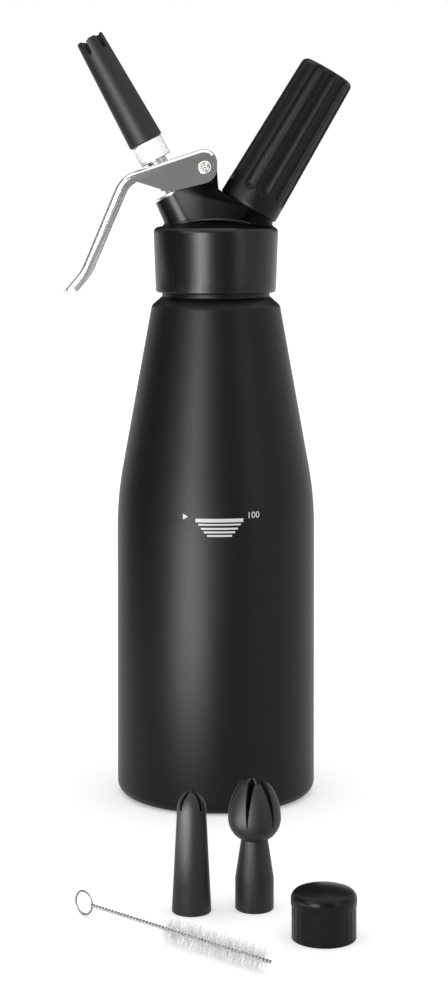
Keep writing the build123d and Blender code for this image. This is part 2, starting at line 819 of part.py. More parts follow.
with BuildPart() as inlet_check_valve:
    cap_face = -check_valve_depth - slip
    add(drum(charger_frame, cap_face - check_valve_height, cap_face, check_valve_radius))
    chamfer(inlet_check_valve.faces().sort_by(spin(charger_frame))[0].edges(), check_valve_chamfer)
    add(drum(charger_frame, cap_face, cap_face + check_valve_stalk, gas_hole - 2 * slip))


# Protective cap ---------------------------------------------------------
cap_foot = Plane(origin=(*cap_spot, 0))

with BuildPart() as protective_cap:
    add(drum(cap_foot, 0, cap_rim_low + cap_rim_height / 2, cap_radius))
    with BuildSketch(half_section(cap_foot)):
        with BuildLine():
            rim_line = Polyline(
                (0, cap_rim_low),
                (cap_rim_radius, cap_rim_low),
                (cap_rim_radius, cap_rim_low + cap_rim_height - cap_rim_slope),
                (cap_rim_radius - cap_rim_slope, cap_rim_low + cap_rim_height),
                (cap_dome_edge, cap_rim_low + cap_rim_height),
            )
            TangentArc((0, cap_height), rim_line @ 1, tangent=(1, 0))
            Line((0, cap_height), rim_line @ 0)
        make_face()
    revolve(axis=spin(cap_foot))
    add(drum(cap_foot, 0, cap_bore_height, stud_radius + free), mode=Mode.SUBTRACT)
    chamfer(protective_cap.faces().sort_by(Axis.Z)[0].edges(), cap_chamfer)


# Cleaning brush ---------------------------------------------------------
brush_origin = Vector(*brush_spot, bristle_height)
brush_way = Vector(1, 0, 0).rotate(Axis.Z, brush_turn)
brush_frame = Plane(origin=brush_origin, x_dir=(0, 0, 1), z_dir=brush_way)
twist_radius = 2 * brush_wire_radius

with BuildPart() as brush_wire:
    add(drum(brush_frame, 0, brush_length, twist_radius))
    loop_centre = brush_origin - brush_way * (brush_loop_radius - brush_wire_radius)
    loop_normal = brush_way.cross(Vector(0, 0, 1))
    with BuildSketch(Plane(origin=loop_centre - brush_way * brush_loop_radius, z_dir=(0, 0, 1))):
        RegularPolygon(brush_wire_radius, wire_sides)
    revolve(axis=Axis(loop_centre, loop_normal))

with BuildPart() as brush_bristles:
    add(drum(brush_frame, bristle_start, bristle_end, bristle_radius))
    chamfer(brush_bristles.edges(), bristle_chamfer)
    add(drum(brush_frame, bristle_start, bristle_end, twist_radius + close), mode=Mode.SUBTRACT)


# Files ------------------------------------------------------------------
finished = {
    "bottle": bottle,
    "head_casting": head_casting,
    "head_gasket": head_gasket,
    "lever": lever,
    "pivot_barrel": pivot_barrel,
    "pivot_screw": pivot_screw,
    "valve_guide": valve_guide,
    "valve_stem": valve_stem,
    "upper_o_ring": upper_o_ring,
    "lower_o_ring": lower_o_ring,
    "valve_seal": valve_seal,
    "valve_nut": valve_nut,
    "valve_spring": valve_spring,
    "tip_adapter": tip_adapter,
    "tip_seal": tip_seal,
    "star_tip": star_tip,
    "straight_tip": straight_tip,
    "tulip_tip": tulip_tip,
    "holder_grip": holder_grip,
    "holder_sleeve": holder_sleeve,
    "gas_charger": gas_charger,
    "piercing_body": piercing_body,
    "piercing_pin": piercing_pin,
    "charger_seal": charger_seal,
    "inlet_check_valve": inlet_check_valve,
    "protective_cap": protective_cap,
    "brush_wire": brush_wire,
    "brush_bristles": brush_bristles,
}
os.makedirs("parts", exist_ok=True)
for name, piece in finished.items():
    piece.part.label = name
    export_step(piece.part, f"parts/{name}.step")
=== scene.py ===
import json
from math import cos, pi, radians, sin

import bmesh
import bpy
import numpy as np
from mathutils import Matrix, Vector


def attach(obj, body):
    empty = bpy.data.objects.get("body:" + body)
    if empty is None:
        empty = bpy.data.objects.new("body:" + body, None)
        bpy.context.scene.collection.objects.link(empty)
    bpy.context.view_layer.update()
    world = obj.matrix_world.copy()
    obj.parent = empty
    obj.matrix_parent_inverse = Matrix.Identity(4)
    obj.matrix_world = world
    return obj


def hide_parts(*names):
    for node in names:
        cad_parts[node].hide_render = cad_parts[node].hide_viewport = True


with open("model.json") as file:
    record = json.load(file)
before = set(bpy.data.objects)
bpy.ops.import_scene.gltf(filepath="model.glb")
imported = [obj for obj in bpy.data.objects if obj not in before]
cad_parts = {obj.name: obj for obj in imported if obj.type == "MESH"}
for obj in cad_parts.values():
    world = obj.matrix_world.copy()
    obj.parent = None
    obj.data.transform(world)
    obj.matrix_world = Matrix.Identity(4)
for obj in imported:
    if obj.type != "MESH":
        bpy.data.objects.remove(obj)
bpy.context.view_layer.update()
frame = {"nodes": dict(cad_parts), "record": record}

mm = 0.001
scene = bpy.context.scene
bodyOf = {node: body for body, members in frame["record"]["behaviour"]["bodies"].items() for node in members}
print("frame loaded")


# placements: three directions and an origin in mm, one to a row

def placement(point, xDir, zDir):
    # y is square to x and z
    return np.array([xDir, np.cross(zDir, xDir), zDir, point], float)


def leaning(point, lean):
    # the local z leans to the left of the upright by lean degrees
    turn = radians(lean)
    return placement(point, (cos(turn), 0, sin(turn)), (-sin(turn), 0, cos(turn)))


def placed(points, place):
    # local points times the placement's three directions, plus its origin, in metres
    return (points @ place[:3] + place[3]) * mm


nozzle = leaning((-20.7, 0, 298.6), 28.8)
upright = leaning((0, 0, 0), 0)


# meshes

welding = {"surface": 1e-7, "solid": 2e-6, "flat": 0.6}     # corners merged within metres, faces within degrees


def newObject(name, verts, faces, smooth=True):
    # a mesh of the given corners and faces, in the scene
    mesh = bpy.data.meshes.new(name)
    mesh.from_pydata(verts, [], faces)
    mesh.validate()
    if smooth:
        mesh.shade_smooth()
    obj = bpy.data.objects.new(name, mesh)
    scene.collection.objects.link(obj)
    return obj


def gridFaces(rows, columns, wrapRows=False, wrapColumns=False):
    # quads between neighbouring rows and columns of a grid of points, counted row by row
    r = np.arange(rows if wrapRows else rows - 1)
    c = np.arange(columns if wrapColumns else columns - 1)
    r, c = np.meshgrid(r, c, indexing="ij")
    r2, c2 = (r + 1) % rows, (c + 1) % columns
    return np.stack([r * columns + c, r * columns + c2, r2 * columns + c2, r2 * columns + c], -1).reshape(-1, 4)


def cornersOf(mesh):
    # a mesh's corners, one to a row
    flat = np.empty(len(mesh.vertices) * 3)
    mesh.vertices.foreach_get("co", flat)
    return flat.reshape(-1, 3)


def closed(obj, degrees=35):
    # doubles merged, faces turned outwards, edges past the angle kept sharp
    work = bmesh.new()
    work.from_mesh(obj.data)
    bmesh.ops.remove_doubles(work, verts=work.verts, dist=welding["surface"])
    bmesh.ops.recalc_face_normals(work, faces=work.faces)
    work.to_mesh(obj.data)
    work.free()
    obj.data.shade_smooth()
    obj.data.set_sharp_from_angle(angle=radians(degrees))
    return obj


def spun(name, profile, place, columns=160, reshape=None, sharp=35):
    # each profile point (radius, height) is carried round the axis; reshape gives new radii and heights
    profile = np.array(profile, float)
    angle = np.linspace(0, 2 * pi, columns, endpoint=False)[None, :]
    radius, height = np.repeat(profile[:, :1], columns, 1), np.repeat(profile[:, 1:2], columns, 1)
    if reshape is not None:
        radius, height = reshape(angle, radius, height)
    points = np.stack([radius * np.cos(angle), radius * np.sin(angle), height], -1).reshape(-1, 3)
    return closed(newObject(name, placed(points, place), gridFaces(len(profile), columns, True, True)), sharp)


def carried(name, section, path, sideways, upwards, sharp=40):
    # the section (u, v) stands at each path point: point + u sideways + v upwards; the ends shrink to a point
    section = np.array(section, float)
    path, sideways, upwards = (np.concatenate([a[:1], a, a[-1:]]) for a in (path, sideways, upwards))
    size = np.ones(len(path))
    size[[0, -1]] = 0
    middle = section.mean(0)
    u = middle[0] + size[:, None] * (section[:, 0] - middle[0])
    v = middle[1] + size[:, None] * (section[:, 1] - middle[1])
    points = path[:, None] + u[..., None] * sideways[:, None] + v[..., None] * upwards[:, None]
    faces = gridFaces(len(path), len(section), False, True)
    return closed(newObject(name, points.reshape(-1, 3) * mm, faces), sharp)


def arc(centre, radius, start, end, steps):
    # points round a centre from the start angle to the end angle, in degrees
    turn = np.radians(np.linspace(start, end, steps))
    return np.stack([centre[0] + radius * np.cos(turn), centre[1] + radius * np.sin(turn)], -1)


def line(*corners, step=2.0):
    # points along straight runs, no further apart than step
    out = [np.array(corners[:1], float)]
    for a, b in zip(corners, corners[1:]):
        a, b = np.array(a, float), np.array(b, float)
        count = max(1, int(np.ceil(np.linalg.norm(b - a) / step)))
        out.append(a + (b - a) * (np.arange(1, count + 1) / count)[:, None])
    return np.concatenate(out)


def rounded(corners, radii, steps=10):
    # a run of corners whose inner ones are rounded by arcs of the given radii: an arc's centre is on the line that
    # halves the corner, at radius over the sine of half the angle, and it starts at radius over its tangent
    corners = [np.array(p, float) for p in corners]
    out = [corners[0]]
    for a, b, c, r in zip(corners, corners[1:], corners[2:], radii):
        if r <= 0:
            out.append(b)
            continue
        u, v = (a - b) / np.linalg.norm(a - b), (c - b) / np.linalg.norm(c - b)
        half = np.arccos(np.clip(u @ v, -1, 1)) / 2
        centre = b + (u + v) / np.linalg.norm(u + v) * r / np.sin(half)
        start, end = b + u * r / np.tan(half) - centre, b + v * r / np.tan(half) - centre
        t = np.linspace(0, 1, steps)[:, None]
        swept = pi - 2 * half
        out.extend(centre + (start * np.sin((1 - t) * swept) + end * np.sin(t * swept)) / np.sin(swept))
    out.append(corners[-1])
    return np.array(out)


def dressed(node, bevel=0.3, angle=32, segments=2):
    # a merged copy of a solid whose hard edges are softened, standing for that solid
    work = bmesh.new()
    work.from_mesh(frame["nodes"][node].data)
    bmesh.ops.remove_doubles(work, verts=work.verts, dist=welding["solid"])
    bmesh.ops.dissolve_limit(work, angle_limit=radians(welding["flat"]), verts=work.verts, edges=work.edges)
    mesh = bpy.data.meshes.new(node + "_dressed")
    work.to_mesh(mesh)
    work.free()
    mesh.shade_smooth()
    mesh.set_sharp_from_angle(angle=radians(angle))
    obj = bpy.data.objects.new(node + "_dressed", mesh)
    scene.collection.objects.link(obj)
    soft = obj.modifiers.new("softEdges", "BEVEL")
    soft.width, soft.segments, soft.limit_method = bevel * mm, segments, "ANGLE"
    soft.angle_limit, soft.harden_normals = radians(angle), True
    return obj


def wears(obj, body, finish, stands=None):
    # the piece rides on a body, stands for a solid if one is named, and takes its finish
    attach(obj, body)
    if stands:
        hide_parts(stands)
    obj.data.materials.clear()
    obj.data.materials.append(finish)
    return obj


# shaders

class Link:
    # a socket that takes part in sums; each operator adds one Math node
    def __init__(self, tree, socket):
        self.tree, self.socket = tree, socket

    def math(self, operation, *values):
        return self.tree.add("ShaderNodeMath", {"operation": operation}, dict(enumerate(values)))

    def __add__(self, other): return self.math("ADD", self, other)
    def __radd__(self, other): return self.math("ADD", other, self)
    def __sub__(self, other): return self.math("SUBTRACT", self, other)
    def __rsub__(self, other): return self.math("SUBTRACT", other, self)
    def __mul__(self, other): return self.math("MULTIPLY", self, other)

    def clamped(self, low, high):
        # 0 at low, 1 at high, held between
        return self.tree.add("ShaderNodeMapRange", {"clamp": True}, {0: self, 1: low, 2: high, 3: 0.0, 4: 1.0})


class Tree:
    # a material's or world's nodes, with short words for the kinds used most
    def __init__(self, owner):
        owner.use_nodes = True
        self.nodes, self.links = owner.node_tree.nodes, owner.node_tree.links
        self.nodes.clear()

    def add(self, kind, settings=None, inputs=None, out=0):
        node = self.nodes.new(kind)
        for key, value in (settings or {}).items():
            setattr(node, key, value)
        for key, value in (inputs or {}).items():
            if isinstance(value, Link):
                self.links.new(value.socket, node.inputs[key])
            else:
                node.inputs[key].default_value = value
        return Link(self, node.outputs[out])

    def spot(self, scale=(1, 1, 1), turn=(0, 0, 0)):
        # the place on the object, in metres, turned and stretched
        where = self.add("ShaderNodeTexCoord", out="Object")
        return self.add("ShaderNodeMapping", {}, {"Vector": where, "Scale": scale, "Rotation": turn})

    def axes(self):
        # the place's x, y and z, one by one
        parts = self.nodes.new("ShaderNodeSeparateXYZ")
        self.links.new(self.spot().socket, parts.inputs[0])
        return [Link(self, parts.outputs[axisName]) for axisName in "XYZ"]

    def noise(self, where, scale, detail=3.0, rough=0.5):
        inputs = {"Vector": where, "Scale": scale, "Detail": detail, "Roughness": rough}
        return self.add("ShaderNodeTexNoise", {}, inputs)

    def blend(self, factor, a, b):
        # colour between a and b
        return self.add("ShaderNodeMix", {"data_type": "RGBA"}, {0: factor, 6: a, 7: b}, out=2)

    def bump(self, height, distance, strength):
        return self.add("ShaderNodeBump", {}, {"Height": height, "Distance": distance, "Strength": strength})

    def edges(self, low=0.53, high=0.62):
        # 0 on flats, 1 on edges that stick out
        return self.add("ShaderNodeNewGeometry", out="Pointiness").clamped(low, high)

    def finish(self, shader, end="ShaderNodeOutputMaterial"):
        self.links.new(shader.socket, self.nodes.new(end).inputs["Surface"])


def material(name, build):
    # build gives the sockets of one Principled shader
    made = bpy.data.materials.new(name)
    tree = Tree(made)
    tree.finish(tree.add("ShaderNodeBsdfPrincipled", {}, build(tree)))
    return made


def gray(value):
    return (value, value, value, 1)


# finishes

anyCoat = {"drift": 35, "smudge": 160, "spread": 0.05, "grainRough": 0.06, "smudgeRough": 0.05, "bump": 0.5}
coatLook = {**anyCoat, "dark": 0.0022, "light": 0.0036, "worn": 0.04, "wear": 0.3, "rough": 0.42,
            "grain": 2400, "depth": 0.00003, "gloss": 0.175}
headLook = {**anyCoat, "dark": 0.0010, "light": 0.0018, "worn": 0.05, "wear": 0.5, "rough": 0.32,
            "grain": 2600, "depth": 0.00002, "gloss": 0.28}
# a darker, duller copy of the head's coat: painted shade over the head's body above the collar
paintedShadeLook = {**headLook, "dark": 0.0008, "light": 0.0014, "gloss": 0.05}
headShadeFade = {"x": (-0.0175, -0.0055), "z": (0.2812, 0.2830)}     # from one coat to the other, in metres


def coat(look):
    # powdery black coating: fine grain in the bump, slow drift in colour and roughness, edges rubbed paler
    def build(t):
        where = t.spot()
        grain, drift = t.noise(where, look["grain"], 2), t.noise(where, look["drift"], 4)
        smudge = t.noise(where, look["smudge"], 5, 0.6)
        body = t.blend(drift, gray(look["dark"]), gray(look["light"]))
        return {
            "Base Color": t.blend(t.edges() * smudge * look["wear"], body, gray(look["worn"])),
            "Roughness": (look["rough"] + (drift - 0.5) * look["spread"] + (grain - 0.5) * look["grainRough"]
                          + (smudge - 0.5) * look["smudgeRough"]),
            "Specular IOR Level": look["gloss"],
            "Normal": t.bump(grain, look["depth"], look["bump"]),
        }
    return build


def fadingCoat(name, look, other, fade):
    # one coat turns into another along x, above the collar; on the head the second is painted shade
    made = bpy.data.materials.new(name)
    t = Tree(made)
    first, second = (t.add("ShaderNodeBsdfPrincipled", {}, coat(each)(t)) for each in (look, other))
    x, _, z = t.axes()
    factor = x.clamped(*fade["x"]) * z.clamped(*fade["z"])
    t.finish(t.add("ShaderNodeMixShader", {}, {0: factor, 1: first, 2: second}))
    return made


anyPlastic = {"cloud": 90, "marks": 420, "darker": 0.85, "paler": 1.15, "edge": 2.2, "edgeShare": 0.5,
              "cloudRough": 0.08, "fineRough": 0.06, "bump": 0.4}
gripLook = {**anyPlastic, "shade": 0.0030, "rough": 0.38, "gloss": 0.17, "scuff": 0.12,
            "grain": 1500, "depth": 0.00028}
tipLook = {**anyPlastic, "shade": 0.0075, "rough": 0.52, "gloss": 0.34, "scuff": 0.06,
           "grain": 1800, "depth": 0.00002}
capLook = {**anyPlastic, "shade": 0.0060, "rough": 0.32, "gloss": 0.14, "scuff": 0.08,
           "grain": 1800, "depth": 0.00002}


def plastic(look):
    # moulded plastic: faint cloudiness, a fine eroded texture and small scuffs
    def build(t):
        where = t.spot()
        fine, cloud = t.noise(where, look["grain"], 3), t.noise(where, look["cloud"], 3)
        scuff = t.noise(where, look["marks"], 6, 0.7)
        shade = look["shade"]
        body = t.blend(cloud, gray(shade * look["darker"]), gray(shade * look["paler"]))
        return {
            "Base Color": t.blend(t.edges() * look["edgeShare"], body, gray(shade * look["edge"])),
            "Roughness": (look["rough"] + (cloud - 0.5) * look["cloudRough"] + (fine - 0.5) * look["fineRough"]
                          + (scuff - 0.5) * look["scuff"]),
            "Specular IOR Level": look["gloss"],
            "Normal": t.bump(fine, look["depth"], look["bump"]),
        }
    return build


anyMetal = {"along": (1, 1, 0.1), "turn": (0, 0, 0), "lines": 900, "streak": 0.10, "spread": 0.12, "depth": 0.00001,
            "marks": 60, "markRough": 0.05, "bump": 0.3}
# towards the handle's end the lever turns rougher and takes a paler colour, a painted reflection
leverLook = {**anyMetal, "shade": (0.66, 0.65, 0.63), "rough": 0.15, "along": (0.05, 1, 1), "turn": (0, 0.32, 0),
             "lines": 2600, "spread": 0.05, "depth": 0.000001,
             "handle": (-0.060, -0.044), "worn": 0.035, "paintedSheen": (0.80, 0.795, 0.78, 1)}


def metal(look):
    # metal with fine lines: noise stretched along one direction of the piece
    def build(t):
        lines = t.noise(t.spot(look["along"], look["turn"]), look["lines"], 3, 0.6)
        marks = t.noise(t.spot(), look["marks"], 4)
        low = tuple(c * (1 - look["streak"]) for c in look["shade"])
        return {
            "Base Color": t.blend(lines, (*low, 1), (*look["shade"], 1)),
            "Metallic": 1.0,
            "Roughness": look["rough"] + (lines - 0.5) * look["spread"] + (marks - 0.5) * look["markRough"],
            "Normal": t.bump(lines, look["depth"], look["bump"]),
        }
    return build


def leverBuild(t):
    # polished at the ears, rougher towards the end of the handle, and paler there: the paler colour is a painted
    # reflection of the bright surroundings
    look, parts = leverLook, metal(leverLook)(t)
    handle = 1.0 - t.axes()[0].clamped(*look["handle"])
    parts["Roughness"] = parts["Roughness"] + handle * look["worn"]
    # the paler colour at the handle's end is a painted reflection
    parts["Base Color"] = t.blend(handle, parts["Base Color"], look["paintedSheen"])
    return parts


def metallic(name, **look):
    # plain metal but for what look says
    return material(name, metal({**anyMetal, **look}))


rubberLook = {"grain": 2500, "dust": 400, "dark": 0.012, "light": 0.03, "rough": 0.62, "spread": 0.15, "gloss": 0.35,
              "depth": 0.00003, "bump": 0.5}
nylonLook = {"grain": 900, "dark": 0.94, "light": 1.0, "rough": 0.35, "spread": 0.2, "cover": 0.30}
inkLook = {"grain": 4000, "dark": 0.80, "light": 0.90, "rough": 0.5, "spread": 0.1}


def rubberBuild(t):
    # dull rubber with a little dust
    look, where = rubberLook, t.spot()
    fine, dust = t.noise(where, look["grain"], 3), t.noise(where, look["dust"], 4)
    return {
        "Base Color": t.blend(dust, gray(look["dark"]), gray(look["light"])),
        "Roughness": look["rough"] + (fine - 0.5) * look["spread"],
        "Specular IOR Level": look["gloss"],
        "Normal": t.bump(fine, look["depth"], look["bump"]),
    }


def nylonBuild(t):
    # clear hairs, of which only a share is seen
    look, fine = nylonLook, t.noise(t.spot(), nylonLook["grain"], 2)
    return {
        "Base Color": t.blend(fine, gray(look["dark"]), gray(look["light"])),
        "Roughness": look["rough"] + (fine - 0.5) * look["spread"],
        "Alpha": look["cover"] + (fine - 0.5) * look["spread"],
    }


def inkBuild(t):
    # white print, faintly uneven
    look, fine = inkLook, t.noise(t.spot(), inkLook["grain"], 2)
    return {"Base Color": t.blend(fine, gray(look["dark"]), gray(look["light"])),
            "Roughness": look["rough"] + (fine - 0.5) * look["spread"]}


bottleCoat = material("bottleCoat", coat(coatLook))
collarCoat = material("collarCoat", coat(headLook))
# the head's coat turns into its darker, duller copy over the head's body: painted shade
headCoatAndShade = fadingCoat("headCoatAndShade", headLook, paintedShadeLook, headShadeFade)
gripPlastic = material("gripPlastic", plastic(gripLook))
tipPlastic = material("tipPlastic", plastic(tipLook))
capPlastic = material("capPlastic", plastic(capLook))
leverSteel = material("leverSteel", leverBuild)
screwSteel = metallic("screwSteel", shade=(0.80, 0.79, 0.76), rough=0.24, along=(1, 1, 1))
wireSteel = metallic("wireSteel", shade=(0.24, 0.235, 0.23), rough=0.30, along=(1, 1, 1))
innerSteel = metallic("innerSteel", shade=(0.60, 0.60, 0.59), rough=0.34)
brassInner = metallic("brassInner", shade=(0.72, 0.52, 0.24), rough=0.32)
aluInner = metallic("aluInner", shade=(0.74, 0.74, 0.75), rough=0.36)
adapterSteel = metallic("adapterSteel", shade=(0.84, 0.84, 0.83), rough=0.47, streak=0.04)
sealRubber = material("sealRubber", rubberBuild)
nylon = material("nylon", nylonBuild)
whiteInk = material("whiteInk", inkBuild)
print("finishes made")


# bottle, with a thread round its neck

bottle = {
    "radius": 49.0, "wall": 1.8, "corner": 6.0, "recess": 3.0, "land": 8.0, "edge": 0.8,
    "coneLow": 147.6, "coneHigh": 242.8, "coneTop": 31.9, "blend": 165.0, "innerBlend": 160.0, "topRound": 3.0,
    "neck": 26.8, "bore": 23.2, "neckRoot": 247.2, "rim": 266.0, "rimRound": 0.6,
    "thread": 0.75, "pitch": 4.0, "threadLow": 249.5, "threadHigh": 263.0, "threadEnd": 1.5,
}


def bottleOutline():
    # the outside, from the middle of the base to the rim
    b = bottle
    return rounded(
        [(0.0, b["recess"]), (b["radius"] - b["land"] - b["recess"], b["recess"]), (b["radius"] - b["land"], 0),
         (b["radius"], 0), (b["radius"], b["coneLow"]), (b["coneTop"], b["coneHigh"]),
         (b["neck"], b["neckRoot"]), (b["neck"], b["rim"])],
        [b["edge"], b["edge"], b["corner"], b["blend"], b["topRound"], b["rimRound"]], 14)


def bottleInside():
    # the inside, from the rim to the middle of the base, a wall inwards
    b = bottle
    return rounded(
        [(b["bore"], b["rim"]), (b["bore"], b["neckRoot"] - 3), (b["coneTop"] - b["wall"], b["coneHigh"] - 0.5),
         (b["radius"] - b["wall"], b["coneLow"]), (b["radius"] - b["wall"], b["recess"] + b["wall"]),
         (0.0, b["recess"] + b["wall"])],
        [b["rimRound"], 2.0, b["innerBlend"], 4.0], 10)


def bottleProfile():
    # outside and inside in one run, with close points along the neck, where the thread is
    b = bottle
    whole = line(*outline, *bottleInside(), step=3.0)
    neck = line((b["neck"], b["neckRoot"]), (b["neck"], b["rim"]), step=0.4)
    low = np.argmax((whole[:, 1] > b["neckRoot"] + 0.3) & (abs(whole[:, 0] - b["neck"]) < 0.01))
    high = np.argmax(whole[:, 1] >= b["rim"] - 1e-6)
    return np.concatenate([whole[:low], neck[2:-1], whole[high:]])


def neckThread(angle, radius, height):
    # a ridge that climbs one pitch a turn: depth times a flattened wave of height minus angle
    b = bottle
    wave = np.sin(2 * pi * height / b["pitch"] - angle)
    starts = np.clip((height - b["threadLow"]) / b["threadEnd"], 0, 1)
    stops = np.clip((b["threadHigh"] - height) / b["threadEnd"], 0, 1)
    outside = abs(radius - b["neck"]) < 0.01
    return radius - np.where(outside, b["thread"] * (starts * stops) * np.clip(0.5 - 1.1 * wave, 0, 1), 0), height


outline = bottleOutline()
bottleBody = spun("bottleBody", bottleProfile(), upright, 256, neckThread, 30)
wears(bottleBody, "bottle", bottleCoat, "bottle")
print("bottle made")


# fill mark printed on the bottle: bars that shorten downwards, a pointer at one end and a number at the other

fillMark = {
    "lift": 0.03, "thick": 0.05, "middle": 1.9, "columns": 17,
    "bars": [(142.4, 1.7, 23.2), (140.4, 0.8, 20.6), (138.5, 0.9, 17.8), (136.8, 0.9, 15.0), (135.1, 0.9, 12.0)],
    "pointer": {"tip": -13.4, "length": 2.6, "height": 2.8, "at": 144.0},
    "number": {"text": "100", "size": 4.4, "start": 15.4, "base": 143.2},
}


def onBottle(across, height, lift):
    # a flat print wrapped round the bottle: across is arc length from the front, lift stands off the wall
    radius = np.interp(height, outline[3:, 1], outline[3:, 0]) + lift
    angle = -pi / 2 + across / bottle["radius"]
    return np.stack([radius * np.cos(angle), radius * np.sin(angle), height], -1)


def printed(name, across, height, faces):
    # two copies of a flat figure, one at the wall and one just proud of it, joined round the rim by Solidify
    obj = newObject(name, onBottle(across, height, fillMark["lift"]) * mm, faces, False)
    skin = obj.modifiers.new("ink", "SOLIDIFY")
    skin.thickness, skin.offset = fillMark["thick"] * mm, -1
    return wears(obj, "bottle", whiteInk)


def fillBars():
    # a bar is a grid as wide and tall as it says, round its own height
    for index, (at, tall, wide) in enumerate(fillMark["bars"]):
        columns = np.linspace(-wide / 2, wide / 2, fillMark["columns"]) + fillMark["middle"]
        across, height = np.meshgrid(columns, [at - tall / 2, at + tall / 2])
        printed("fillBar%d" % index, across.ravel(), height.ravel(), gridFaces(2, fillMark["columns"]))


def fillPointer():
    # a triangle whose tip is level with its middle
    p = fillMark["pointer"]
    printed("fillPointer", p["tip"] + np.array([-1, 0, -1]) * p["length"],
            p["at"] + np.array([-0.5, 0, 0.5]) * p["height"], [(0, 1, 2)])


def fillNumber():
    # a text made a flat mesh, its corners moved to their place in the print
    n = fillMark["number"]
    letters = bpy.data.curves.new("fillNumber", "FONT")
    letters.body, letters.size, letters.resolution_u = n["text"], n["size"], 4
    source = bpy.data.objects.new("fillNumberSource", letters)
    scene.collection.objects.link(source)
    bpy.context.view_layer.update()
    flat = bpy.data.meshes.new_from_object(source.evaluated_get(bpy.context.evaluated_depsgraph_get()))
    bpy.data.objects.remove(source)
    corners = cornersOf(flat)
    faces = [tuple(p.vertices) for p in flat.polygons]
    printed("fillNumber", corners[:, 0] + n["start"], corners[:, 1] + n["base"], faces)


fillBars()
fillPointer()
fillNumber()
print("fill mark made")


# head, lever and spare tips: the solids with softened edges

handleEnd = {"outer": (-76.34, 248.51), "along": (0.644, 0.765), "below": (0.765, -0.644),
             "start": 2.2, "run": 3.8, "sheet": 1.6, "cuts": 10, "past": -60.0}


def cutAcross(mesh, at, along, past):
    # a straight cut through the faces whose middle is left of past
    near = [f for f in mesh.faces if f.calc_center_median().x < past * mm]
    edges, verts = {e for f in near for e in f.edges}, {v for f in near for v in f.verts}
    bmesh.ops.bisect_plane(mesh, geom=list(verts) + list(edges) + near, dist=1e-6,
                           plane_co=(at[0] * mm, 0, at[1] * mm), plane_no=(along[0], 0, along[1]))


def roundedEnd(obj):
    # depth below the sheet times the root of one minus the square of how far a point has come to the handle's end
    h = handleEnd
    outer, along, below = (np.array(h[k]) for k in ("outer", "along", "below"))
    work = bmesh.new()
    work.from_mesh(obj.data)
    for away in h["start"] + h["run"] * np.linspace(0, 1, h["cuts"] + 1)[1:] ** 2:
        cutAcross(work, outer + along * away, along, h["past"])
    work.to_mesh(obj.data)
    work.free()
    points = cornersOf(obj.data) / mm
    flat = points[:, [0, 2]] - outer
    come = np.where(points[:, 0] < h["past"], np.clip(1 - (flat @ along - h["start"]) / h["run"], 0, 1), 0)
    under = np.clip(flat @ below - h["sheet"], 0, None)
    points[:, [0, 2]] -= (under * (1 - np.sqrt(1 - come ** 2)))[:, None] * below
    obj.data.vertices.foreach_set("co", (points * mm).ravel())
    return obj


# the casting's coat is painted shade above the collar, right of the nozzle boss
wears(dressed("head_casting", 0.35, 35), "head", headCoatAndShade, "head_casting")
wears(roundedEnd(dressed("lever", 0.4, 35, 3)), "lever", leverSteel, "lever")
for node in ("straight_tip", "tulip_tip"):
    wears(dressed(node, 0.25, 35), bodyOf[node], tipPlastic, node)
print("head, lever and spare tips dressed")


# head's body: the space between the two bosses is filled to their full width, so that one runs into the other

charger = leaning((16.0, 0, 291.6), -30.6)
web = {
    "foot": [(-11.6, 282.0), (10.3, 282.0)],
    "top": [(-20.7, 298.5), (-11.6, 303.4), (-10.8, 308.3), (0.1, 308.3), (1.1, 300.6), (3.7, 298.7), (16.0, 291.5)],
    "mouth": 10.48, "draft": 6.0, "charger": 14.58, "block": 10.35, "fade": 9.0, "rows": 80, "columns": 90,
    "drawn": 1.6, "drawIn": 0.7, "domeLow": 281.3, "domeRise": 5.5, "domeReach": 31.1, "sharp": 50,
}
brow = {"from": -20.3, "to": 17.0, "middle": -1.0, "half": 19.5, "low": 283.0, "rise": 2.6,
        "proud": 0.42, "deep": 0.7, "tall": 0.9, "steps": 120, "sides": 24, "sharp": 60}


def alongRun(corners, count):
    # points at even distances along a run of corners
    corners = np.array(corners, float)
    gone = np.concatenate([[0], np.cumsum(np.linalg.norm(np.diff(corners, axis=0), axis=1))])
    where = np.linspace(0, gone[-1], count)
    return np.stack([np.interp(where, gone, corners[:, k]) for k in (0, 1)], -1)


def fromAxis(flat, place):
    # distance to the right of a boss's axis and height above its mouth, for points (x, z)
    return (flat - place[3, [0, 2]]) @ np.array([place[0, [0, 2]], place[2, [0, 2]]]).T


def nozzleRadius(above):
    # the mouth's radius, plus the depth below the mouth times the tangent of the draft
    return web["mouth"] + np.clip(-above, 0, None) * np.tan(radians(web["draft"]))


def webWidth(flat):
    # half the width goes from the nozzle boss's radius to the charger boss's by the distances from their axes,
    # and fades to the block's width above the line between the two mouths
    w = web
    fromNozzle, fromCharger = fromAxis(flat, nozzle), fromAxis(flat, charger)
    near, far = np.clip(fromNozzle[..., 0], 0, None), np.clip(-fromCharger[..., 0], 0, None)
    share = near / np.maximum(near + far, 1e-6)
    share = 0.5 * share + 0.5 * share * share * (3 - 2 * share)
    boss = nozzleRadius(fromNozzle[..., 1])
    width = boss + (w["charger"] - boss) * share
    mouthLine = np.interp(flat[..., 0], [nozzle[3][0], charger[3][0]], [nozzle[3][2], charger[3][2]])
    lift = np.clip((flat[..., 1] - mouthLine) / w["fade"], 0, 1)
    return w["block"] + (width - w["block"]) * (1 - lift * lift * (3 - 2 * lift))


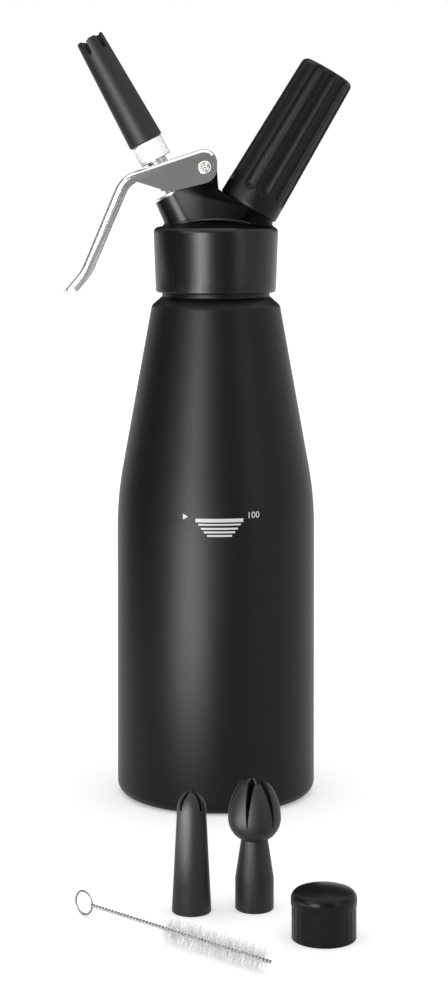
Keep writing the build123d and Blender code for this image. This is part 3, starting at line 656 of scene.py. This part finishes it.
def headWeb():
    # a sheet at half the web's width in front and behind, drawn in by a quarter circle where it meets the dome
    w = web
    rise = np.linspace(0, 1, w["rows"])[None, :, None]
    low, high = alongRun(w["foot"], w["columns"])[:, None], alongRun(w["top"], w["columns"])[:, None]
    flat = low + (high - low) * rise
    x, z = flat[..., 0], flat[..., 1]
    width = webWidth(flat)
    dome = w["domeLow"] + w["domeRise"] * (1 - np.hypot(x, width) / w["domeReach"])
    left = np.clip(1 - (z - dome) / w["drawn"], 0, 1)
    width = width - w["drawIn"] * (1 - np.sqrt(1 - left * left))
    front = np.stack([x, -width, z], -1)
    points = np.concatenate([front, front[:, ::-1] * np.array([1, -1, 1])], 1)
    around = points.shape[1]
    faces = gridFaces(w["columns"], around, False, True).tolist()
    ends = [tuple(range(around)), tuple(range((w["columns"] - 1) * around, w["columns"] * around))]
    return closed(newObject("headWeb", points.reshape(-1, 3) * mm, faces + ends), w["sharp"])


def headBrow(name, side):
    # a low arched ridge at the head's foot, just proud of the furthest of the two bosses and the web;
    # its height falls with the square of the distance from the middle, and a boss's depth there is
    # the root of its radius squared less the distance from its axis squared
    r = brow
    x = np.linspace(r["from"], r["to"], r["steps"])
    flat = np.stack([x, r["low"] + r["rise"] * (1 - ((x - r["middle"]) / r["half"]) ** 2)], -1)
    fromNozzle, fromCharger = fromAxis(flat, nozzle), fromAxis(flat, charger)
    nozzleDepth = np.sqrt(np.clip(nozzleRadius(fromNozzle[:, 1]) ** 2 - fromNozzle[:, 0] ** 2, 0, None))
    chargerDepth = np.sqrt(np.clip(web["charger"] ** 2 - fromCharger[:, 0] ** 2, 0, None))
    webDepth = np.where((fromNozzle[:, 0] > 0) & (fromCharger[:, 0] < 0), webWidth(flat), 0)
    depth = np.maximum(np.maximum(nozzleDepth, chargerDepth), webDepth)
    path = np.stack([x, side * depth, flat[:, 1]], -1)
    outward, upward = (np.repeat([way], len(x), 0) for way in ([0.0, side, 0.0], [0.0, 0.0, 1.0]))
    section = arc((0, 0), 1, 0, 345, r["sides"]) * np.array([r["deep"], r["tall"]])
    section = section + np.array([r["proud"] - r["deep"], 0])
    return carried(name, section, path, outward, upward, r["sharp"])


# the web wears the head's coat, which is painted shade there
wears(headWeb(), "head", headCoatAndShade)
wears(headBrow("headBrowFront", -1), "head", collarCoat)
wears(headBrow("headBrowBack", 1), "head", collarCoat)
print("head's body filled")


# star tip: a tapered tube whose end is slotted into prongs

star = {
    "foot": 28.9, "lean": 28.8, "length": 58.5, "base": 8.8, "top": 7.0, "chamfer": 0.5, "wall": 1.7,
    "socket": 6.5, "seal": 7.5, "sealHigh": 1.2, "socketHigh": 10.5,
    "slots": 5, "slotAt": -118.7, "slot": 3.0, "depth": 8.0, "round": 0.8, "lip": 0.5, "lipWide": 1.3,
}


def prongs(angle, radius, height):
    # heights are held below a floor that rises from the slot's round bottom to the prong's rounded top
    s = star
    pitch = 2 * pi / s["slots"]
    away = (angle - radians(s["slotAt"]) + pitch / 2) % pitch - pitch / 2
    side = abs(away) * np.maximum(radius, s["top"] - s["wall"])
    half = s["slot"] / 2
    bottom = s["length"] - s["depth"] + half - np.sqrt(np.clip(half ** 2 - side ** 2, 0, None))
    shoulder = np.clip(1 - (side - half) / s["round"], 0, 1)
    lip = s["lip"] * (away > 0) * (side < half + s["lipWide"])
    crest = s["length"] - s["round"] * (1 - np.sqrt(1 - shoulder ** 2)) - lip
    return radius, np.minimum(height, np.where(side < half, bottom, crest))


def starProfile():
    # up the socket's wall and round the foot, up the outside, over the crown and down the bore
    s = star
    slotFoot, bore = s["length"] - s["depth"], s["top"] - s["wall"]
    return np.concatenate([
        line((s["socket"], s["socketHigh"]), (s["socket"], s["sealHigh"]), (s["seal"], s["sealHigh"]), (s["seal"], 0),
             (s["base"] - s["chamfer"], 0), (s["base"], s["chamfer"]), (s["top"] + 0.3, slotFoot - 1), step=2.5),
        line((s["top"] + 0.27, slotFoot), (s["top"], s["length"] - 0.4), step=0.25),
        line((s["top"] - 0.35, s["length"]), (bore + 0.4, s["length"]), step=0.3),
        line((bore, s["length"] - 1.2), (bore, slotFoot), step=0.25),
        line((bore, slotFoot - 1), (bore, s["socketHigh"]), step=2.5)])


starFoot = leaning(nozzle[3] + nozzle[2] * star["foot"], star["lean"])
starTip = spun("starTip", starProfile(), starFoot, 400, prongs, 40)
wears(starTip, bodyOf["star_tip"], tipPlastic, "star_tip")
print("star tip made")


# grip of the charger holder, with groups of broad flutes

grip = {
    "foot": (16.1527, 0, 291.858), "lean": -30.6, "close": 0.25, "length": 78.4, "base": 15.5, "top": 13.9,
    "round": 3.0, "rim": 0.5, "bore": 10.9, "boreHigh": 70.75, "gate": 1.2, "gateHigh": 0.6,
    "groups": (-82, 8, 98, 172), "spacing": 26.7, "flute": 12.4, "depth": 1.45, "fluteLow": 7.5,
    "power": 0.62, "skin": 2.2,
}


def gripFlutes(angle, radius, height):
    # the outside sinks along each flute by a rounded trough whose lower end is a half circle
    g = grip
    outer = g["base"] + (g["top"] - g["base"]) * height / g["length"]
    centres = np.radians([group + step * g["spacing"] for group in g["groups"] for step in (-1, 0, 1)])
    away = ((angle[..., None] - centres + pi) % (2 * pi) - pi) * g["base"]
    nearest = np.abs(away).min(-1)
    half = radians(g["flute"]) * g["base"]
    down = np.clip(g["fluteLow"] + half - height, 0, None)
    trough = np.clip(1 - (nearest ** 2 + down ** 2) / half ** 2, 0, 1) ** g["power"]
    outside = np.clip(1 - (outer - radius) / g["skin"], 0, 1) * (radius > g["bore"] + 0.5)
    return radius - g["depth"] * trough * outside, height


def gripProfile():
    # down the bore, round the rim, up the tapering outside with close points at the flutes' lower ends, over the top
    g = grip
    base, top, high = g["base"], g["top"], g["length"]
    return np.concatenate([
        line((0, g["boreHigh"]), (g["bore"], g["boreHigh"]),
             (g["bore"], -g["close"]), (base - g["rim"], -g["close"]), step=6),
        line((base, g["rim"]), (base - 0.13, 7.0), step=2),
        line((base - 0.14, 7.4), (base - 0.27, 13.5), step=0.3),
        line((base - 0.28, 14.5), (top + 0.06, high - g["round"] - 0.5), step=3),
        arc((top - g["round"], high - g["round"]), g["round"], 0, 90, 14),
        line((top - g["round"] - 0.3, high), (g["gate"], high), step=2),
        line((g["gate"], high + g["gateHigh"]), (0, high + g["gateHigh"]), step=1)])


holderGrip = spun("holderGrip", gripProfile(), leaning(grip["foot"], grip["lean"]), 540, gripFlutes, 40)
wears(holderGrip, "holder", gripPlastic, "holder_grip")
print("grip made")


# pivot screw with a cross recess

screw = {"at": (-5.45, 0, 311.25), "head": 3.2, "face": 12.9, "high": 1.2, "round": 0.5, "shank": 1.28, "end": 5.4,
         "arm": 0.42, "reach": 1.9, "depth": 0.85, "turn": 24.0, "armSlope": 0.16, "endSlope": 0.3, "dome": 0.14}


def crossRecess(angle, radius, height):
    # the head's face sinks where a point lies near either arm of a turned cross, with sloping sides
    s = screw
    turned = angle + radians(s["turn"])
    x, y = abs(radius * np.cos(turned)), abs(radius * np.sin(turned))
    narrow = np.clip((s["arm"] - np.minimum(x, y)) / s["armSlope"] + 0.5, 0, 1)
    arms = narrow * np.clip((s["reach"] - np.maximum(x, y)) / s["endSlope"], 0, 1)
    face = height > s["face"] + s["high"] - 0.01
    dome = s["dome"] * (1 - (radius / s["head"]) ** 2)
    return radius, height - np.where(face, s["depth"] * arms + s["dome"] - dome, 0)


def screwProfile():
    # up the shank, out under the head, round its edge and across its face
    s = screw
    top, inner = s["face"] + s["high"], s["head"] - s["round"]
    return np.concatenate([
        line((0, s["end"]), (s["shank"], s["end"]), (s["shank"], s["face"]), (s["head"], s["face"]), step=2),
        arc((inner, top - s["round"]), s["round"], 0, 90, 7),
        line((inner - 0.05, top), (0, top), step=0.09)])


front = placement(screw["at"], (1, 0, 0), (0, -1, 0))
pivotScrew = spun("pivotScrew", screwProfile(), front, 144, crossRecess, 30)
wears(pivotScrew, "head", screwSteel, "pivot_screw")
print("screw made")


# adapter with a knurled band, and the stem's thread below it

adapter = {
    "low": 18.7, "high": 28.9, "radius": 8.1, "chamfer": 0.5, "spigot": 6.2, "end": 37.9, "socket": 4.87,
    "socketEnd": 27.0, "bore": 3.0, "grooves": 32, "groove": 0.17, "margin": 0.9, "runOut": 0.3,
    "pitch": 1.5, "thread": 0.4,
}
stemThread = {"radius": 4.82, "high": 0.28, "crest": 0.08, "foot": 0.45, "pitch": 1.25,
              "low": 14.6, "end": 19.6, "steps": 220}


def knurl(angle, radius, height):
    # the band dips at each groove by the cube of a cosine wave; the spigot carries a climbing wave
    a = adapter
    starts = np.clip((height - a["low"] - a["margin"]) / a["runOut"], 0, 1)
    band = starts * np.clip((a["high"] - a["margin"] - height) / a["runOut"], 0, 1)
    dip = a["groove"] * np.clip(np.cos(a["grooves"] * angle), 0, 1) ** 3 * band * (radius > a["radius"] - 0.01)
    climbs = (abs(radius - a["spigot"]) < 0.01) & (height > a["high"] + 1.0) & (height < a["end"] - 0.6)
    ridge = a["thread"] * (0.5 + 0.5 * np.sin(2 * pi * height / a["pitch"] - angle)) * climbs
    return radius - dip - ridge, height


def adapterProfile():
    # down the socket, round the foot, up the band with close points, and up the spigot to the bore
    a = adapter
    return np.concatenate([
        line((a["socket"], a["socketEnd"]), (a["socket"], a["low"] + 0.3), (a["socket"] + 0.3, a["low"]),
             (a["radius"] - a["chamfer"], a["low"]), (a["radius"], a["low"] + a["chamfer"]), step=1.5),
        line((a["radius"], a["low"] + a["chamfer"] + 0.1), (a["radius"], a["high"] - a["chamfer"]), step=0.35),
        line((a["radius"] - a["chamfer"], a["high"]), (a["spigot"], a["high"]), step=1.5),
        line((a["spigot"], a["high"] + 0.2), (a["spigot"], a["end"] - a["chamfer"]), step=0.25),
        line((a["spigot"] - a["chamfer"], a["end"]), (a["bore"], a["end"]), (a["bore"], a["socketEnd"]), step=1.5)])


def helixFrame(radius, low, end, pitch, steps, place):
    # points round the place's axis that climb one pitch a turn, with their outward and upward directions
    turn = np.linspace(0, 2 * pi * (end - low) / pitch, steps)
    outward = np.cos(turn)[:, None] * place[0] + np.sin(turn)[:, None] * place[1]
    middle = place[3] + (low + turn / (2 * pi) * pitch)[:, None] * place[2]
    return middle + outward * radius, outward, np.repeat(place[2:3], steps, 0)


def threadRidge():
    # a four-cornered section carried up a helix: wide at the stem, narrow at the crest
    s = stemThread
    section = [(0, -s["foot"]), (s["high"], -s["crest"]), (s["high"], s["crest"]), (0, s["foot"])]
    path, outward, upward = helixFrame(s["radius"], s["low"], s["end"], s["pitch"], s["steps"], nozzle)
    return carried("stemThread", section, path, outward, upward)


knurledAdapter = spun("knurledAdapter", adapterProfile(), nozzle, 384, knurl, 30)
wears(knurledAdapter, "valve", adapterSteel, "tip_adapter")
wears(threadRidge(), "valve", innerSteel)
print("adapter made")


# protective cap with a fluted skirt

cap = {
    "at": (44.3, -219.0, 0), "radius": 13.1, "rim": 13.4, "rimLow": 13.9, "neck": 13.4, "neckHigh": 16.2,
    "shoulder": 3.5, "top": 21.4, "bore": 10.2, "boreTop": 14.0, "edge": 0.4,
    "flutes": 28, "flute": 0.10, "fluteLow": 0.8, "fluteHigh": 0.3, "runOut": 0.4,
}


def skirtFlutes(angle, radius, height):
    # the skirt dips by the square of a cosine wave between its foot and the rim
    c = cap
    starts = np.clip((height - c["fluteLow"]) / c["runOut"], 0, 1)
    stops = np.clip((c["rimLow"] - c["fluteHigh"] - height) / c["runOut"], 0, 1)
    skirt = starts * stops * (abs(radius - c["radius"]) < 0.01)
    return radius - c["flute"] * np.clip(np.cos(c["flutes"] * angle), 0, 1) ** 2 * skirt, height


def capProfile():
    # the bore, the foot, the skirt, the rim, a round shoulder, and a flat dome that meets the shoulder smoothly:
    # its radius is (inner squared + rise squared - shoulder squared) over twice (rise - shoulder)
    c = cap
    inner, rise = c["neck"] - c["shoulder"], c["top"] - c["neckHigh"]
    crown = (inner ** 2 + rise ** 2 - c["shoulder"] ** 2) / (2 * (rise - c["shoulder"]))
    reach = np.degrees(np.arctan2(inner, crown - rise))
    return np.concatenate([
        line((0, c["boreTop"]), (c["bore"], c["boreTop"]), (c["bore"], c["edge"]), (c["bore"] + c["edge"], 0),
             (c["radius"] - c["edge"], 0), step=3),
        line((c["radius"], c["edge"]), (c["radius"], c["rimLow"] - 0.15), step=0.4),
        line((c["radius"] + 0.05, c["rimLow"]), (c["rim"] - 0.1, c["rimLow"]), (c["rim"], c["rimLow"] + 0.3), step=1),
        arc((inner, c["neckHigh"]), c["shoulder"], 0, 90 - reach, 14),
        arc((0, c["top"] - crown), crown, 90 - reach + 1, 90, 24)])


domedCap = spun("domedCap", capProfile(), leaning(cap["at"], 0), 320, skirtFlutes, 28)
wears(domedCap, "cap", capPlastic, "protective_cap")
print("cap made")


# cleaning brush: a twisted pair of wires with an eye, and bristles held between them

brush = {
    "at": (-50.8, -195.0, 5.5), "turn": -42.5, "length": 98.7, "wire": 0.40, "eye": 4.8, "pitch": 3.6,
    "steps": 560, "sides": 10, "eyeSteps": 72, "start": 43.0, "end": 95.5, "radius": 5.45, "chamfer": 1.8,
    "fibre": 0.075, "count": 2300, "seed": 4, "fan": 0.16, "bend": 0.35, "shortest": 0.9, "floor": 0.02,
    # shares of a hair at its foot, middle and tip
    "hairReach": (0.2, 0.62, 1.0), "hairBend": (0.0, 0.4, 1.0), "hairThick": (1.0, 0.9, 0.6),
}
brushTurn = radians(brush["turn"])
axis = placement(brush["at"], (0, 0, 1), (cos(brushTurn), sin(brushTurn), 0))
wireSection = arc((0, 0), brush["wire"], 0, 324, brush["sides"])


def twistedStrand(name, phase):
    # a round wire along a helix: axis point plus the wire's radius times the cosine and sine of the twist
    b = brush
    run = np.linspace(0, b["length"], b["steps"])
    turn = 2 * pi * run / b["pitch"] + phase
    spread = b["wire"] * np.clip(run / 1.5, 0, 1)
    path = axis[3] + run[:, None] * axis[2]
    path = path + (spread * np.cos(turn))[:, None] * axis[0] + (spread * np.sin(turn))[:, None] * axis[1]
    sideways, upwards = (np.repeat(way[None], b["steps"], 0) for way in axis[:2])
    strand = carried(name, wireSection, path, sideways, upwards, 60)
    return wears(strand, "brush", wireSteel, "brush_wire")


def brushEye():
    # a ring of wire: centre plus eye radius times the cosine and sine of the turn, in the upright plane
    b = brush
    turn = np.linspace(0, 2 * pi, b["eyeSteps"] + 1)[:-1]
    outward = np.cos(turn)[:, None] * axis[2] + np.sin(turn)[:, None] * axis[0]
    centre = axis[3] - (b["eye"] - b["wire"]) * axis[2]
    points = (centre + outward * b["eye"])[:, None] + wireSection[:, 0][None, :, None] * outward[:, None]
    points = points + wireSection[:, 1][None, :, None] * axis[1]
    faces = gridFaces(b["eyeSteps"], b["sides"], True, True)
    eye = closed(newObject("brushEye", points.reshape(-1, 3) * mm, faces), 60)
    return wears(eye, "brush", wireSteel, "brush_wire")


def trimmed(points):
    # hairs are held inside the clipped brush: a cylinder with chamfered ends, and above the floor
    b = brush
    local = (points - axis[3]) @ axis[:3].T
    over = np.hypot(local[..., 0], local[..., 1])[..., None]
    local[..., 2] = np.clip(local[..., 2], b["start"], b["end"])
    fromEnd = np.minimum(local[..., 2:] - b["start"], b["end"] - local[..., 2:])
    within = b["radius"] - np.clip(b["chamfer"] - fromEnd, 0, None)
    local[..., :2] *= np.minimum(over, within) / np.maximum(over, 1e-6)
    points = local @ axis[:3] + axis[3]
    points[..., 2] = np.maximum(points[..., 2], b["floor"])
    return points


def bristles():
    # three-sided hairs: each starts in the twist and runs outwards at the twist's own angle, a little bent
    b, n = brush, brush["count"]
    chance = np.random.default_rng(b["seed"])
    run = np.sort(chance.uniform(b["start"], b["end"], n))
    turn = 2 * pi * run / b["pitch"] + pi * chance.integers(0, 2, n) + pi / 2 + chance.normal(0, b["fan"], n)
    lean = chance.normal(0, b["bend"], (n, 2))
    reachOut = np.array(b["hairReach"]) * (b["radius"] * chance.uniform(b["shortest"], 1.0, n))[:, None]
    bend = np.array(b["hairBend"])[None, :]
    outward = np.cos(turn)[:, None] * axis[0] + np.sin(turn)[:, None] * axis[1]
    across = -np.sin(turn)[:, None] * axis[0] + np.cos(turn)[:, None] * axis[1]
    middle = (axis[3] + run[:, None] * axis[2])[:, None] + reachOut[..., None] * outward[:, None]
    middle = middle + (bend * lean[:, :1])[..., None] * axis[2] + (bend * lean[:, 1:])[..., None] * across[:, None]
    corner = np.arange(3) * 2 * pi / 3
    ring = np.cos(corner)[:, None, None] * axis[2] + np.sin(corner)[:, None, None] * across[None]
    thick = b["fibre"] * np.array(b["hairThick"])
    points = trimmed(middle[:, :, None] + thick[None, :, None, None] * ring.transpose(1, 0, 2)[:, None])
    firstCorner = 9 * np.arange(n)[:, None, None]
    sides = (gridFaces(3, 3, False, True)[None] + firstCorner).reshape(-1, 4)
    ends = (np.array([[0, 2, 1], [6, 7, 8]])[None] + firstCorner).reshape(-1, 3)
    hairs = newObject("brushHairs", points.reshape(-1, 3) * mm, sides.tolist() + ends.tolist())
    return wears(closed(hairs, 80), "brush", nylon, "brush_bristles")


twistedStrand("brushStrandA", 0)
twistedStrand("brushStrandB", pi)
brushEye()
bristles()
print("brush made")


# the other solids keep their shape and get a finish

kept = {
    "head_gasket": sealRubber, "pivot_barrel": screwSteel, "valve_guide": screwSteel, "valve_stem": innerSteel,
    "upper_o_ring": sealRubber, "lower_o_ring": sealRubber, "valve_seal": sealRubber, "valve_nut": brassInner,
    "valve_spring": innerSteel, "tip_seal": sealRubber, "holder_sleeve": aluInner, "gas_charger": innerSteel,
    "piercing_body": brassInner, "piercing_pin": innerSteel, "charger_seal": sealRubber,
    "inlet_check_valve": sealRubber,
}
for node, finish in kept.items():
    solid = frame["nodes"][node].data
    solid.materials.clear()
    solid.materials.append(finish)
print("other solids finished")


# floor, world, lamps, reflectors and camera

studio = {"floor": 30.0, "shade": 0.84, "drift": 0.02, "cloud": 3.0, "rough": 0.9, "gloss": 0.2,
          "glow": 0.38, "world": 0.50, "sky": 1.3}
lamps = {
    "stripLeft": {"at": (-0.60, -1.15, 0.36), "aim": (0, 0, 0.30), "size": (0.46, 0.70), "power": 17.0},
    "stripRight": {"at": (0.95, -0.95, 0.66), "aim": (0, 0, 0.40), "size": (0.30, 1.3), "power": 3.0},
    "stripHigh": {"at": (-1.08, -0.75, 0.99), "aim": (0.03, 0, 0.33), "size": (0.5, 0.5), "power": 5.0},
    "stripFloor": {"at": (-0.31, -0.60, 0.012), "turn": -27, "size": (0.20, 0.90), "power": 12.0},
}
cloth = {"near": 0.42, "far": 2.2, "floor": 0.004, "high": 2.4, "from": 145, "to": 309, "steps": 31, "shade": 0.24}
board = {"wide": 1.1, "back": 1.4, "low": 0.38, "high": 2.0, "shade": 0.06}
view = {"eye": (0.00403, -1.10806, 0.30633), "focalPixels": 2227.5, "longSide": 1000.0, "sensor": 36.0,
        "pitch": 1.614, "shift": -0.26, "far": 50.0}


def seenAs(t):
    # 1 for rays from the camera, from a mirror or through glass
    path = t.nodes.new("ShaderNodeLightPath")
    kinds = ("Is Camera Ray", "Is Glossy Ray", "Is Transmission Ray")
    camera, glossy, clear = (Link(t, path.outputs[kind]) for kind in kinds)
    return camera.math("MAXIMUM", camera, glossy.math("MAXIMUM", glossy, clear))


def makeFloor():
    # a level sheet, square to the axes
    s, half = studio, studio["floor"] / 2
    corners = [(-half, -half, 0), (half, -half, 0), (half, half, 0), (-half, half, 0)]
    floor = newObject("floor", corners, [(0, 1, 2, 3)], False)
    made = bpy.data.materials.new("paleFloor")
    t = Tree(made)
    cloud = t.noise(t.spot(), s["cloud"], 2)
    surface = t.add("ShaderNodeBsdfPrincipled", {}, {
        "Base Color": t.blend(cloud, gray(s["shade"]), gray(s["shade"] + s["drift"])),
        "Roughness": s["rough"], "Specular IOR Level": s["gloss"]})
    glow = t.add("ShaderNodeEmission", {}, {"Color": gray(1.0), "Strength": seenAs(t) * s["glow"]})
    t.finish(t.add("ShaderNodeAddShader", {}, {0: surface, 1: glow}))
    floor.data.materials.append(made)


def makeWorld():
    # a plain level of light on the object, and white where the surroundings are seen
    world = bpy.data.worlds.new("studio")
    scene.world = world
    t = Tree(world)
    level = t.add("ShaderNodeBackground", {}, {"Color": gray(1.0), "Strength": studio["world"]})
    bright = t.add("ShaderNodeBackground", {}, {"Color": gray(1.0), "Strength": 1.0})
    t.finish(t.add("ShaderNodeMixShader", {}, {0: seenAs(t), 1: level, 2: bright}), "ShaderNodeOutputWorld")


def makeLamps():
    # strips that make the long highlights: two upright, one high up, one on the floor; only reflections see them
    for name, lamp in lamps.items():
        data = bpy.data.lights.new(name, "AREA")
        data.shape, data.size, data.size_y, data.energy = "RECTANGLE", *lamp["size"], lamp["power"]
        obj = bpy.data.objects.new(name, data)
        obj.location = lamp["at"]
        if "aim" in lamp:
            obj.rotation_euler = (Vector(lamp["aim"]) - Vector(lamp["at"])).to_track_quat("-Z", "Y").to_euler()
        else:
            obj.rotation_euler = (pi, 0, radians(lamp["turn"]))
        obj.visible_diffuse = False
        scene.collection.objects.link(obj)
    sky = bpy.data.lights.new("softSky", "SUN")
    sky.energy, sky.angle = studio["sky"], radians(90)
    scene.collection.objects.link(bpy.data.objects.new("softSky", sky))


def inReflections(sheet, shade):
    # a plain sheet of one shade that only reflections see
    made = bpy.data.materials.new(sheet.name)
    t = Tree(made)
    t.finish(t.add("ShaderNodeEmission", {}, {"Color": gray(shade), "Strength": 1.0}))
    sheet.data.materials.append(made)
    sheet.visible_camera = sheet.visible_diffuse = sheet.visible_shadow = sheet.visible_transmission = False


def makeCloth():
    # dark cloth before the object: a profile out along the floor and up a wall, carried round part of a circle
    c = cloth
    profile = np.concatenate([line((c["near"], c["floor"]), (c["far"], c["floor"]), step=0.3),
                              line((c["far"], 0.05), (c["far"], c["high"]), step=0.4)])
    angle = np.radians(np.linspace(c["from"], c["to"], c["steps"]))
    points = np.stack([np.outer(profile[:, 0], np.cos(angle)), np.outer(profile[:, 0], np.sin(angle)),
                       np.repeat(profile[:, 1:], len(angle), 1)], -1)
    inReflections(newObject("darkCloth", points.reshape(-1, 3), gridFaces(len(profile), len(angle))), c["shade"])


def makeBoard():
    # a dark upright board, high up behind
    b = board
    corners = [(-b["wide"], b["back"], b["low"]), (b["wide"], b["back"], b["low"]),
               (b["wide"], b["back"], b["high"]), (-b["wide"], b["back"], b["high"])]
    inReflections(newObject("darkBoard", corners, [(0, 1, 2, 3)]), b["shade"])


def makeCamera():
    # focal length is the focal length in picture elements over the picture's long side, times the sensor
    lens = bpy.data.cameras.new("camera")
    lens.sensor_width = view["sensor"]
    lens.lens = view["focalPixels"] / view["longSide"] * lens.sensor_width
    lens.shift_y = view["shift"]
    lens.clip_end = view["far"]
    camera = bpy.data.objects.new("camera", lens)
    camera.location = view["eye"]
    camera.rotation_euler = (pi / 2 - radians(view["pitch"]), 0, 0)
    scene.collection.objects.link(camera)
    scene.camera = camera


makeFloor()
makeWorld()
makeLamps()
makeCloth()
makeBoard()
makeCamera()
scene.view_settings.view_transform = "Standard"
print("studio made")
